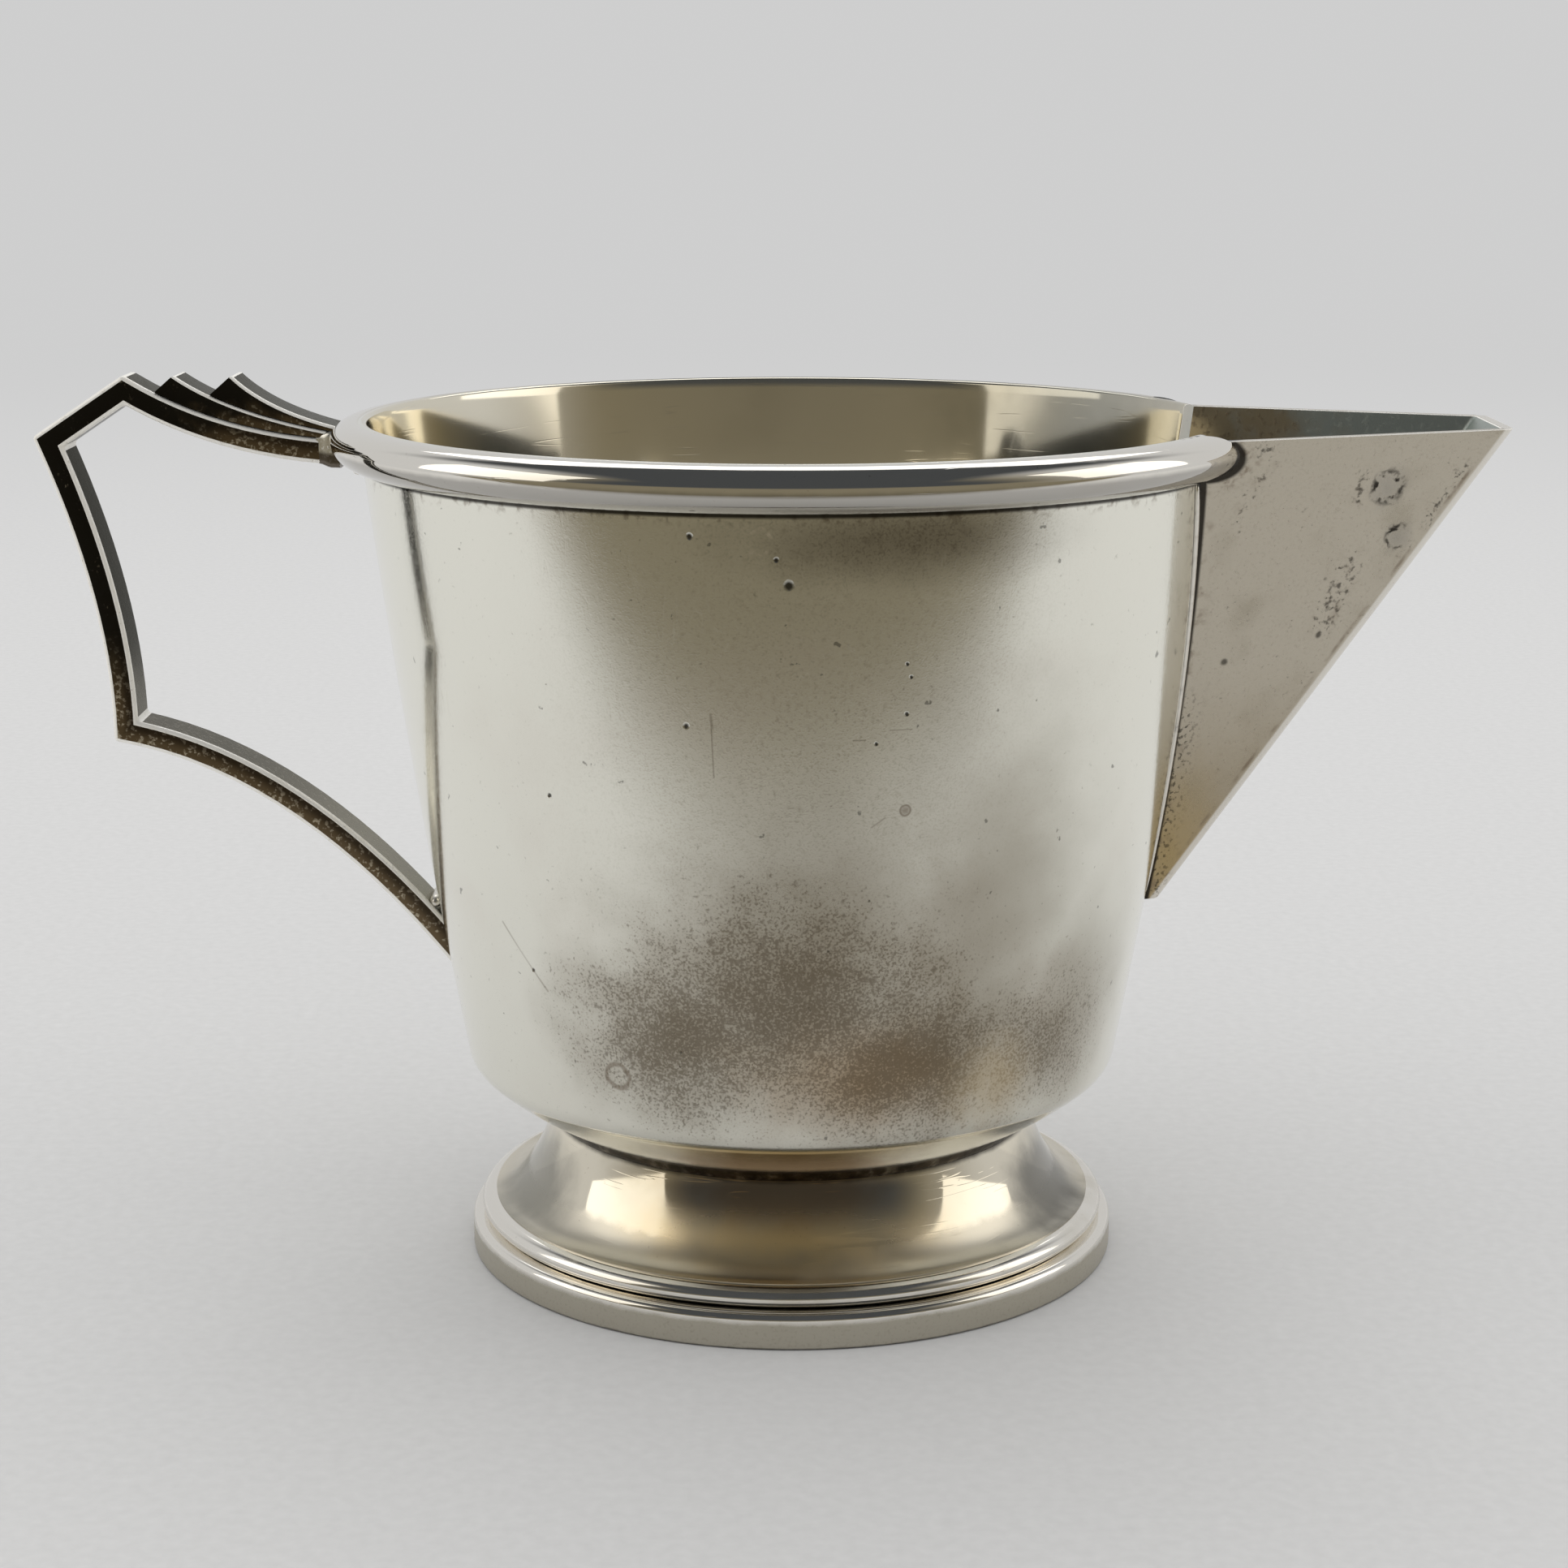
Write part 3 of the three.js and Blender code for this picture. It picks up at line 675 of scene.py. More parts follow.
strap = strip_piece("strap", outside_line[:knee] + outside_arm, inside_line[:knee] + inside_arm, "handle_strap")
round_arrises(strap, STRAP_ARRIS, sharper_than=28, paint=WORN)


def leaf_top(seat, bend, peak):
    return bent(seat[0] + Vector((0, LEAF_END)), bend, peak, LEAF_STEPS)


def leaf_seat(seat, peak):
    ramp = Vector((-math.cos(LEAF_RAMP), -math.sin(LEAF_RAMP)))
    normal = Vector((-ramp.y, ramp.x))
    sides = [(p - Vector(peak)).dot(normal) for p in seat]
    for i in range(len(seat) - 1):
        if sides[i] * sides[i + 1] <= 0:
            toe = seat[i].lerp(seat[i + 1], sides[i] / (sides[i] - sides[i + 1]))
            return resampled(seat[:i + 1] + [toe], LEAF_STEPS + 1)
    raise ValueError("the leaf's end face misses its seat")


middle_seat = shifted(bent(rim_end, TOP_BEND, PEAK, SEAT_STEPS), -STRAP_THICKNESS / 2 - SEAT_GAP)
middle_top = leaf_top(middle_seat, MIDDLE_BEND, MIDDLE_PEAK)
inner_seat = shifted(middle_top, -SEAT_GAP)
inner_top = leaf_top(inner_seat, INNER_BEND, INNER_PEAK)
leaf_middle = strip_piece("leaf_middle", middle_top, leaf_seat(middle_seat, MIDDLE_PEAK), "thumb_leaf_middle")
leaf_inner = strip_piece("leaf_inner", inner_top, leaf_seat(inner_seat, INNER_PEAK), "thumb_leaf_inner")
for leaf in (leaf_middle, leaf_inner):
    round_arrises(leaf, LEAF_ARRIS, sharper_than=40, paint=WORN, upper_only=True)

# %% [markdown]
# ## Handle solder
# Solder ran into the corners where the strap meets the rim and the wall. Below the strap and above its lower end it
# is a bar across the strap, and at the rim a small bright collar also shows all round the strap's root.

# %% Handle solder
UNDER_RIM, ABOVE_ARM = (-35.25, 65.75, 0.5), (-29.75, 29.55, 0.55)
BAR_STEPS, BAR_PROUD = 16, 0.15
COLLAR_RINGS = ((-36.6, 0.4), (-37.3, 0.38), (-37.6, 0.3), (-37.85, 0.18), (-38.1, 0.06), (-38.5, -0.05))
COLLAR_MIDDLE, COLLAR_HALF, COLLAR_SIDES, COLLAR_SQUARE, COLLAR_FLAT = 67.45, 1.25, 40, 0.25, 0.8


def bar_across(name, x, z, radius, stands_for):
    half = STRAP_WIDTH / 2 + BAR_PROUD
    line = []
    for i in range(BAR_STEPS + 1):
        place = Vector((x, -half + 2 * half * i / BAR_STEPS, z))
        line.append((place, Vector((1, 0, 0)), Vector((0, 0, 1))))
    return solder_bar(name, line, radius, radius, stands_for)


def squared(share):
    return math.copysign(abs(share) ** COLLAR_SQUARE, share)


def root_collar():
    corners, sides, last = [], COLLAR_SIDES, len(COLLAR_RINGS) - 1
    for x, proud in COLLAR_RINGS:
        half_y, half_z = STRAP_WIDTH / 2 + proud, COLLAR_HALF + proud * COLLAR_FLAT
        for i in range(sides):
            turn = 2 * math.pi * i / sides
            corners.append((x, squared(math.cos(turn)) * half_y, COLLAR_MIDDLE + squared(math.sin(turn)) * half_z))
    ends = [tuple(range(sides)), tuple(range(last * sides, (last + 1) * sides))]
    faces = quads(len(COLLAR_RINGS), sides, closed=True) + ends
    return build_piece("solder_collar", corners, faces, None, crease=50)


solder_under_rim = bar_across("solder_under_rim", *UNDER_RIM, "handle_solder_upper")
solder_at_arm = bar_across("solder_at_arm", *ABOVE_ARM, "handle_solder_lower")
solder_collar = root_collar()

# %% [markdown]
# ## Foot
# The foot was spun from sheet: an upright skirt and a hollow flare that leaves the cup steeply. A flat wire forms
# the ring that the jug stands on, a small half-round wire lies on top of it, and solder fills the crease below the
# cup. All four are turned profiles. The half-round wire reaches down to the ring, as the film of solder between
# them does.

# %% Foot
NECK_RADIUS, SKIRT_RADIUS, SKIRT_HEIGHT, FOOT_WALL = 20.2, 25.2, 4.7, 0.8
FLARE_SWEEP, FLARE_STEPS, BEAD_STEPS = math.radians(52), 40, 20
FOOT_LIFT, NECK_GAP, NECK_TUCK, SKIRT_EASE = 0.1, 0.3, (0.05, 0.3), 0.3
BEAD_DEPTH, BEAD_HEIGHT, BEAD_DIP, WIRE_GAP, WIRE_SINK = 1.2, 1.4, 0.05, 0.3, 0.1
RING_DEPTH, RING_HEIGHT, RING_ROUND, RING_EDGE = 2.0, 2.9, 0.6, 0.25
FILLET_REACH, FILLET_LAP = 0.55, 0.08


def underside_height(radius):
    away = radius - CUP_FLAT_RADIUS
    return CUP_BOTTOM + CUP_BOTTOM_CURVE - math.sqrt(CUP_BOTTOM_CURVE ** 2 - away ** 2)


def flare(radius_shift):
    top = underside_height(NECK_RADIUS) - NECK_GAP
    wide, narrow = SKIRT_RADIUS - radius_shift, NECK_RADIUS - radius_shift
    low = SKIRT_HEIGHT - radius_shift
    line = [(wide, FOOT_LIFT), (wide, low - SKIRT_EASE)]
    for i in range(FLARE_STEPS + 1):
        turn = FLARE_SWEEP * i / FLARE_STEPS
        inward = math.sin(turn) / math.sin(FLARE_SWEEP)
        upward = (1 - math.cos(turn)) / (1 - math.cos(FLARE_SWEEP))
        line.append((wide - (wide - narrow) * inward, low + (top - low) * upward))
    return line + [(narrow - NECK_TUCK[0], underside_height(narrow) + NECK_TUCK[1])]


def rounded_corner(centre, radius, start, steps=8):
    turns = [math.radians(start + 90 * i / steps) for i in range(steps + 1)]
    return [(centre[0] + radius * math.cos(t), centre[1] + radius * math.sin(t)) for t in turns]


foot = turned_piece("foot", flare(0) + flare(FOOT_WALL)[::-1], "foot_shell")

ring_outer, wire_inner = SKIRT_RADIUS + RING_DEPTH, SKIRT_RADIUS - WIRE_SINK
ring_profile = [(wire_inner, 0.0), *rounded_corner((ring_outer - RING_EDGE, RING_EDGE), RING_EDGE, -90)]
ring_profile += rounded_corner((ring_outer - RING_ROUND, RING_HEIGHT - RING_ROUND), RING_ROUND, 0)
ring_profile.append((wire_inner, RING_HEIGHT))
foot_wire = turned_piece("foot_wire", ring_profile, "foot_ring")

bead_half = (BEAD_HEIGHT + WIRE_GAP + BEAD_DIP) / 2
bead_middle = RING_HEIGHT + WIRE_GAP + BEAD_HEIGHT - bead_half
bead_profile = []
for i in range(BEAD_STEPS + 1):
    turn = math.pi * (i / BEAD_STEPS - 0.5)
    out, up = (BEAD_DEPTH + WIRE_SINK) * math.cos(turn), bead_half * math.sin(turn)
    bead_profile.append((wire_inner + out, bead_middle + up))
bead_wire = turned_piece("bead_wire", bead_profile, "foot_bead")

crease = underside_height(NECK_RADIUS)
fillet_top = underside_height(NECK_RADIUS + FILLET_REACH) + FILLET_LAP - crease
fillet_steps = ((-0.1, -0.6), (0.12, -0.42), (0.28, -0.12), (FILLET_REACH, fillet_top), (-0.1, 0.2))
fillet_profile = [(NECK_RADIUS + out, crease + up) for out, up in fillet_steps]
foot_fillet = turned_piece("foot_fillet", fillet_profile, "foot_solder")

# %% [markdown]
# ## Effects that several finishes share
# Old silver is never one colour. Sulphur in the air browns it in clouds and specks, polish leaves hairlines, and
# dirt stays in the creases. Each of these effects is a node group with named inputs, built once. Calling an effect
# places it in a finish with its own values. All of them start from the place on the jug in millimetres, so no
# unwrapping is needed.

# %% Group helper
class Effect(Graph):
    def __init__(self, name, inputs, outputs):
        super().__init__(bpy.data.node_groups.new(name, "ShaderNodeTree"))
        self.outputs = outputs
        for label, value in inputs.items():
            self.add_socket(label, "INPUT", isinstance(value, tuple)).default_value = value
        for label in outputs:
            self.add_socket(label, "OUTPUT", label == "Place")
        self.given = Outputs(self, self.tree.nodes.new("NodeGroupInput").outputs)
        self.results = self.tree.nodes.new("NodeGroupOutput").inputs

    def add_socket(self, label, way, is_vector):
        kind = "NodeSocketVector" if is_vector else "NodeSocketFloat"
        return self.tree.interface.new_socket(label, in_out=way, socket_type=kind)

    def give(self, **results):
        for label, value in results.items():
            self.feed(self.results[label], value)
        print(f"effect {self.tree.name}: {len(self.tree.nodes)} nodes")
        return self

    def __call__(self, graph, *values):
        placed = graph.node("Group", dict(enumerate(values)), node_tree=self.tree)
        return placed[0] if len(self.outputs) == 1 else placed


print("groups can be made and placed")

# %% Place on the jug
def place_on_jug():
    effect = Effect("place on the jug", {}, ["Place", "Radius"])
    object_place = effect.node("TexCoord")["Object"]
    about_axis = effect.vector("SUBTRACT", object_place, (AXIS_X, 0, 0))[0]
    place = effect.vector("MULTIPLY", about_axis, (1 / MM,) * 3)[0]
    level_place = effect.vector("MULTIPLY", place, (1, 1, 0))[0]
    return effect.give(Place=place, Radius=effect.vector("LENGTH", level_place)["Value"])


jug_place = place_on_jug()


def place_parts(graph):
    return graph.node("SeparateXYZ", {0: jug_place(graph)["Place"]})


def noise(graph, size, detail=3.0, stretch=None):
    place = jug_place(graph)["Place"]
    if stretch is not None:
        place = graph.vector("MULTIPLY", place, stretch)[0]
    scale = graph.math("DIVIDE", 1.0, size)
    return graph.node("TexNoise", {"Vector": place, "Scale": scale, "Detail": detail})["Fac"]

# %% Tarnish patch, specks and stipple
NOISE_MIDDLE = 0.5


def tarnish_patch():
    inputs = {"Centre": (0, 0, 0), "Reach": (5, 5, 5), "Ragged": 0.5, "Grain": 4.0}
    effect = Effect("tarnish patch", inputs, ["Mask", "Ring", "Soft"])
    given = effect.given
    from_centre = effect.vector("SUBTRACT", jug_place(effect)["Place"], given["Centre"])[0]
    far = effect.vector("LENGTH", effect.vector("DIVIDE", from_centre, given["Reach"])[0])["Value"]
    far = far + (noise(effect, given["Grain"], 5.0) - NOISE_MIDDLE) * (given["Ragged"] * 3.0)
    return effect.give(Mask=far.eased(1.1, 0.35), Ring=abs(far - 0.8).eased(0.24, 0.06), Soft=far.eased(1.4, 0.0))


def tarnish_specks():
    effect = Effect("tarnish specks", {"Size": 0.3, "Cover": 0.4, "Soft": 0.1}, ["Mask"])
    limit = 0.72 - effect.given["Cover"] * 0.44
    grain = noise(effect, effect.given["Size"], 4.0)
    return effect.give(Mask=grain.eased(limit, limit + effect.given["Soft"]))


def stippled_edge():
    effect = Effect("stippled edge", {"Mask": 0.5, "Size": 0.3}, ["Mask"])
    dots = (noise(effect, effect.given["Size"], 3.0) - NOISE_MIDDLE) * 2.4 + effect.given["Mask"]
    return effect.give(Mask=dots.eased(0.4, 0.85))


patch, specks, stippled = tarnish_patch(), tarnish_specks(), stippled_edge()

# %% Hairlines, single scratch and band by height
def polishing_hairlines():
    effect = Effect("polishing hairlines", {"Spacing": 2.0, "Stretch": (1, 1, 1), "Width": 0.012}, ["Mask"])
    waves = noise(effect, effect.given["Spacing"], 1.0, effect.given["Stretch"])
    lines = abs(waves - NOISE_MIDDLE).eased(effect.given["Width"], 0.0)
    broken = noise(effect, 4.0, 2.0).eased(0.48, 0.64)
    return effect.give(Mask=lines * broken)


def single_scratch():
    effect = Effect("single scratch", {"From": (0, 0, 0), "To": (0, 0, 1), "Width": 0.1}, ["Mask", "Soft"])
    run = effect.vector("SUBTRACT", effect.given["To"], effect.given["From"])[0]
    far = effect.vector("SUBTRACT", jug_place(effect)["Place"], effect.given["From"])[0]
    run_squared = effect.vector("DOT_PRODUCT", run, run)["Value"]
    share = effect.vector("DOT_PRODUCT", far, run)["Value"].math("DIVIDE", run_squared, clamp=True)
    nearest = effect.node("VectorMath", {0: run, "Scale": share}, operation="SCALE")[0]
    gap = effect.vector("DISTANCE", far, nearest)["Value"] / effect.given["Width"]
    return effect.give(Mask=gap.eased(1.0, 0.3), Soft=gap.eased(1.6, 0.0))


def band_by_height():
    effect = Effect("band by height", {"Low": 0.0, "High": 1.0, "Blur": 0.2, "Ragged": 0.5}, ["Mask"])
    given = effect.given
    torn = (noise(effect, 1.6, 4.0) - NOISE_MIDDLE) * given["Ragged"]
    height = place_parts(effect)["Z"] + torn
    over_low = (height - given["Low"]).eased(0.0, given["Blur"])
    under_high = (given["High"] - height).eased(0.0, given["Blur"])
    return effect.give(Mask=over_low * under_high)


hair, scratch, band = polishing_hairlines(), single_scratch(), band_by_height()

# %% [markdown]
# Dirt follows the joints, so three more groups measure how far a point is from a joint: from the flat spout plates,
# from the wall of the cup, and from the half-round rim. Each uses the same sizes as the piece it measures from.

# %% Distance from a joint
def distance_from_plates():
    effect = Effect("distance from the spout plates", {}, ["Distance"])
    place = place_parts(effect)
    plate_rise = width_lean + splay * front_lean
    beyond = abs(place["Y"]) + place["X"] * splay - place["Z"] * plate_rise - spout_half_width(0, 0, 0)
    behind_spout = place["X"].eased(17.0, 15.0, 0.0, 50.0)
    return effect.give(Distance=beyond / side_stretch + behind_spout)


def distance_from_cup(low=40, high=60):
    effect = Effect("distance from the cup", {}, ["Distance"])
    lean = (wall_radius(high) - wall_radius(low)) / (high - low)
    wall_at = place_parts(effect)["Z"] * lean + (wall_radius(high) - high * lean)
    return effect.give(Distance=jug_place(effect)["Radius"] - wall_at)


def distance_from_rim():
    effect = Effect("distance from the rim", {}, ["Distance"])
    middle = RIM_HEIGHT - MOULDING_HEIGHT / 2
    out = (jug_place(effect)["Radius"] - wall_radius(middle)) / MOULDING_DEPTH
    up = (place_parts(effect)["Z"] - middle) / (MOULDING_HEIGHT / 2)
    far = (out * out + up * up).math("SQRT")
    return effect.give(Distance=(far - 1.0) * 2.0)


from_plates, from_cup, from_rim = distance_from_plates(), distance_from_cup(), distance_from_rim()

# %% [markdown]
# ## Silver and what lies on it
# A finish starts from a metal shader whose base colour is the tint of its reflections. Layers of tarnish and dirt
# are then laid over the silver one after another, each through its mask, in the order in which they came onto the
# jug.

# %% Finish helper
SILVER, CREAM, TAUPE = (0.88, 0.85, 0.79), (0.84, 0.80, 0.72), (0.52, 0.475, 0.40)
OLIVE, BROWN, DIRT = (0.50, 0.44, 0.31), (0.20, 0.15, 0.105), (0.018, 0.015, 0.012)
UPRIGHT, SLANTED, LEVEL = (1.2, 1.2, 0.05), (1.0, 1.0, 0.08), (0.05, 0.05, 1.0)
UNDER_TABLE, NOWHERE = -20.0, -10.0


class Finish(Graph):
    def __init__(self, name, colour):
        self.material = bpy.data.materials.new(name)
        self.material.use_nodes = True
        super().__init__(self.material.node_tree)
        self.shader = self.tree.nodes["Principled BSDF"]
        self.shader.inputs["Metallic"].default_value = 1.0
        self.colour = colour

    def laid(self, below, over, mask, strength=1.0):
        return self.mixed(mask.math("MULTIPLY", strength, clamp=True), below, over)

    def lay(self, over, mask, strength=1.0):
        self.colour = self.laid(self.colour, over, mask, strength)

    def patches(self, marks, ragged, grain, edge):
        return most_of(*[patch(self, place, reach, ragged, grain)[edge] for place, reach in marks])

    def lobes(self, lobes, ragged, grain):
        return most_of(*[patch(self, place, reach, ragged, grain)["Soft"] * share for place, reach, share in lobes])

    def scratches(self, lines, edge):
        return most_of(*[scratch(self, *line)[edge] for line in lines])

    def surface(self, roughness, height, depth):
        self.feed(self.shader.inputs["Base Color"], self.colour)
        self.feed(self.shader.inputs["Roughness"], roughness)
        bump = self.node("Bump", {"Height": height, "Strength": 1.0, "Distance": depth * MM})
        self.feed(self.shader.inputs["Normal"], bump["Normal"])
        print(f"finish {self.material.name}: {len(self.tree.nodes)} nodes")
        return self.material


print("finishes can be laid in layers")

# %% [markdown]
# ## Satin cup
# The outside of the cup has a soft satin polish. It has browned most in the middle of each side: a speckled patch
# low down and a band below the rim. The taupe shade across the middle of each side is partly tarnish and partly
# painted shade for the dim room in front, which the satin reflects. Painted shadow darkens the underside above the
# foot, where some tarnish lies too, and a painted shadow band fills the crease above the foot. Black dirt sits
# under the moulding and along the spout seams, and there are a few pits, rings and scratches from use. The tarnish
# breaks up into fine dots towards its edges.

# %% Marks on the cup
PITS = (((-0.2, -34.1, 61.2), 0.45), ((-7.3, -33.8, 64.7), 0.3), ((-1.1, -34.3, 63.1), 0.25),
        ((-18.2, -26.0, 44.0), 0.22), ((-20.0, -21.4, 29.1), 0.22), ((-7.7, -31.8, 50.5), 0.28),
        ((8.4, -32.25, 55.2), 0.18), ((8.7, -32.0, 54.2), 0.18), ((8.4, -31.7, 51.4), 0.2),
        ((6.2, -31.9, 49.2), 0.18))
SCRATCHES = (((-22.5, -19.7, 32.5), (-18.9, -22.1, 27.6), 0.15), ((-5.9, -32.3, 51.4), (-5.7, -31.6, 46.6), 0.09),
             ((-5.9, -32.3, 51.4), (-5.8, -32.2, 50.4), 0.16), ((7.2, -31.8, 50.2), (8.8, -31.4, 50.2), 0.08),
             ((4.5, -32.2, 49.5), (5.4, -32.1, 49.5), 0.09), ((2.4, -31.8, 45.4), (4.9, -31.5, 45.4), 0.08),
             ((5.9, -31.0, 42.7), (6.9, -30.9, 43.4), 0.1))
SMALL_RINGS = (((8.4, -30.6, 43.9), 0.5), ((-13.4, -24.6, 21.5), 1.25))
RIGHT_LOBES = (((15, -26, 35), (10, 12, 20), 1.0), ((21, -19, 27), (10, 10, 11), 0.72),
               ((4.5, -31, 36.5), (14, 12, 10), 0.75))
LOW_LOBES = (((-8.0, -27, 25.5), (12, 10, 9), 1.0), ((0.5, -28, 28.0), (17, 14, 12), 0.95),
             ((8.5, -26, 23.5), (11, 10, 9), 1.1), ((18, -20, 23), (12, 11, 8), 0.75),
             ((3, 28, 27), (17, 12, 10), 0.75), ((-14, 24, 60), (9, 8, 6), 0.5))
PALE_SATIN, MIDDLE_TARNISH_AND_SHADE, RIGHT_SHADE = (0.92, 0.91, 0.825), (0.36, 0.32, 0.235), (0.40, 0.37, 0.30)
LOW_TARNISH, COPPER, GOLD = (0.20, 0.15, 0.085), (0.46, 0.30, 0.15), (0.62, 0.48, 0.27)
DOT_BROWN, SMOKE, UNDERSIDE_SHADOW_AND_TARNISH = (0.10, 0.072, 0.042), (0.12, 0.09, 0.06), (0.10, 0.078, 0.05)
print(f"{len(PITS)} pits, {len(SCRATCHES)} scratches and {len(SMALL_RINGS)} rings to place")

# %% Satin cup
def satin_cup():
    skin = Finish("satin cup", PALE_SATIN)
    clouds, coarse = specks(skin, 13.0, 0.5, 0.3), specks(skin, 0.75, 0.5, 0.2)
    grain = specks(skin, 0.17, 0.5, 0.12) * 0.5 + coarse * 0.5
    skin.lay(CREAM, clouds, 0.5)
    # Painted shade: the middle patches are partly tarnish and partly painted shade for the dim room that the satin
    # reflects.
    front_tarnish_and_shade = patch(skin, (2.0, -33, 44), (22, 24, 40), 0.1, 8.0)["Soft"]
    middle_back = patch(skin, (-4, 33, 44), (20, 20, 30), 0.3, 9.0)["Soft"]
    middle = most_of(front_tarnish_and_shade, middle_back * 0.7)
    mottled = specks(skin, 0.17, 0.5, 0.2) * 0.25 + specks(skin, 0.5, 0.45, 0.25) * 0.2 + 0.24
    skin.lay(MIDDLE_TARNISH_AND_SHADE, middle * mottled)
    skin.lay(RIGHT_SHADE, skin.lobes(RIGHT_LOBES, 0.2, 5.0), 0.8)
    low = skin.lobes(LOW_LOBES, 0.25, 4.0)
    skin.lay(LOW_TARNISH, low, 0.74)
    skin.lay(COPPER, patch(skin, (4.5, -28, 22), (9, 9, 5), 0.3, 3.0)["Soft"], 0.4)
    dots = most_of(stippled(skin, low * 0.8, 0.2), stippled(skin, low * 0.55, 0.45))
    skin.lay(DOT_BROWN, dots, 0.55)
    skin.lay(GOLD, patch(skin, (15.5, -23, 20.5), (4, 5, 4), 0.3, 2.0)["Soft"], 0.4)
    under_rim = patch(skin, (8.5, -33, 64.4), (13, 10, 3.2), 0.15, 3.0)["Soft"]
    skin.lay(SMOKE, under_rim * (grain * 0.25 + 0.6))
    # Painted shadow: the underside above the foot is darkened for the shadow and dark reflection there, with some
    # tarnish.
    underside_shadow_and_tarnish = patch(skin, (-1, -24, 13.5), (13, 9, 7), 0.1, 3.0)["Mask"] * band(skin, 10.0, 15.8, 0.2, 0.1)
    skin.lay(UNDERSIDE_SHADOW_AND_TARNISH, underside_shadow_and_tarnish, 0.88)
    rim_gap, seam_gap = from_rim(skin), abs(from_plates(skin))
    under_wire = place_parts(skin)["Z"].eased(67.4, 66.8)
    skin.lay(BROWN, rim_gap.eased(1.4, 0.2) * under_wire * coarse, 0.6)
    skin.lay(BROWN, seam_gap.eased(2.4, 0.5) * coarse, 0.75)
    seam_lines = most_of(seam_gap.eased(0.3, 0.1), abs(seam_gap - 0.82).eased(0.14, 0.03))
    rim_line = rim_gap.eased(0.5, 0.2) * under_wire
    # The band from 9 to 12.3 mm is painted shadow in the crease above the foot; the seam and rim lines are dirt in
    # the joints.
    skin.lay(DIRT, most_of(seam_lines, rim_line, band(skin, 9.0, 12.3, 0.2, 0.3)), 0.93)
    pits, stray = skin.patches(PITS, 0.15, 0.5, "Mask"), specks(skin, 1.1, 0.02, 0.03) * 0.6
    skin.lay(DIRT, most_of(pits, stray), 0.9)
    skin.lay(BROWN, skin.patches(SMALL_RINGS, 0.1, 0.8, "Ring"), 0.55)
    skin.lay(BROWN, patch(skin, SMALL_RINGS[0][0], 0.45, 0.2, 0.5)["Soft"], 0.6)
    nick = patch(skin, (-2.2, -34.5, 64.4), 1.1, 0.25, 1.0)["Ring"]
    skin.lay(SILVER, nick * coarse, 0.9)
    skin.lay(BROWN, skin.scratches(SCRATCHES, "Mask"), 0.4)
    hairlines = hair(skin, 1.3, UPRIGHT)
    skin.lay(SILVER, hairlines, 0.06)
    roughness = clouds * 0.03 + middle * 0.12 + low * 0.12 + grain * 0.02 + hairlines * 0.03 + 0.1
    return skin.surface(roughness, grain * 0.03 - (pits + hairlines * 0.02), 0.06)


cup.data.materials.append(satin_cup())

# %% Bright inside and worn edge
INSIDE_TINT, INSIDE_SHADE, EDGE_TINT = (0.86, 0.81, 0.68), (0.34, 0.335, 0.29), (0.96, 0.94, 0.89)


def bright_inside():
    skin = Finish("bright inside", INSIDE_TINT)
    clouds, hairlines = specks(skin, 11.0, 0.5, 0.3), hair(skin, 1.5, LEVEL)
    skin.lay(OLIVE, clouds, 0.3)
    skin.lay(OLIVE, band(skin, 8.0, 34.0, 16.0, 3.0), 0.5)
    skin.lay(INSIDE_SHADE, patch(skin, (27, 21, 58), (17, 18, 30), 0.2, 6.0)["Soft"], 0.95)
    skin.lay(TAUPE, hairlines, 0.2)
    return skin.surface(clouds * 0.05 + hairlines * 0.03 + 0.08, hairlines * -1.0, 0.0008)


def worn_edge():
    skin = Finish("worn edge", EDGE_TINT)
    clouds, grain = specks(skin, 1.6, 0.5, 0.3), specks(skin, 0.3, 0.2, 0.1)
    skin.lay(CREAM, clouds, 0.5)
    skin.lay(TAUPE, grain, 0.5)
    skin.shader.inputs["Metallic"].default_value = 0.5
    return skin.surface(clouds * 0.1 + 0.46, grain, 0.004)


edge_finish = worn_edge()
cup.data.materials.append(bright_inside())
cup.data.materials.append(edge_finish)

# %% [markdown]
# ## Polished rim and foot
# The wires and the foot are the parts that a polishing cloth reaches best, so they are close to a mirror. Old
# polish has left a warm tint on them and fine lines that run round with the cloth. Dark bands are laid where
# pieces meet: painted shadow in the crease above the foot, in the groove under the bead and along the foot of the
# ring where it stands on the table, and on the rim wire a darker lower half with a dark line at its joint. A golden
# and a brown film lie on the front of the flare, and grey ones on its flanks. The ring at the bottom is duller on
# its side, where it is put down and picked up.

# %% Polished rim and foot
FOOT_TINT, DULL_SIDE, DULL_GRAIN = (0.84, 0.78, 0.65), (0.42, 0.39, 0.31), (0.36, 0.32, 0.25)
GREY_FILM, GOLDEN_FILM, BROWN_FILM = (0.52, 0.49, 0.42), (0.95, 0.71, 0.34), (0.52, 0.34, 0.17)
FLANK_FILMS = (((-22, -7, 7), (6, 11, 5), (0.30, 0.29, 0.25)), ((22, -7, 7), (6, 11, 5), (0.16, 0.155, 0.14)))


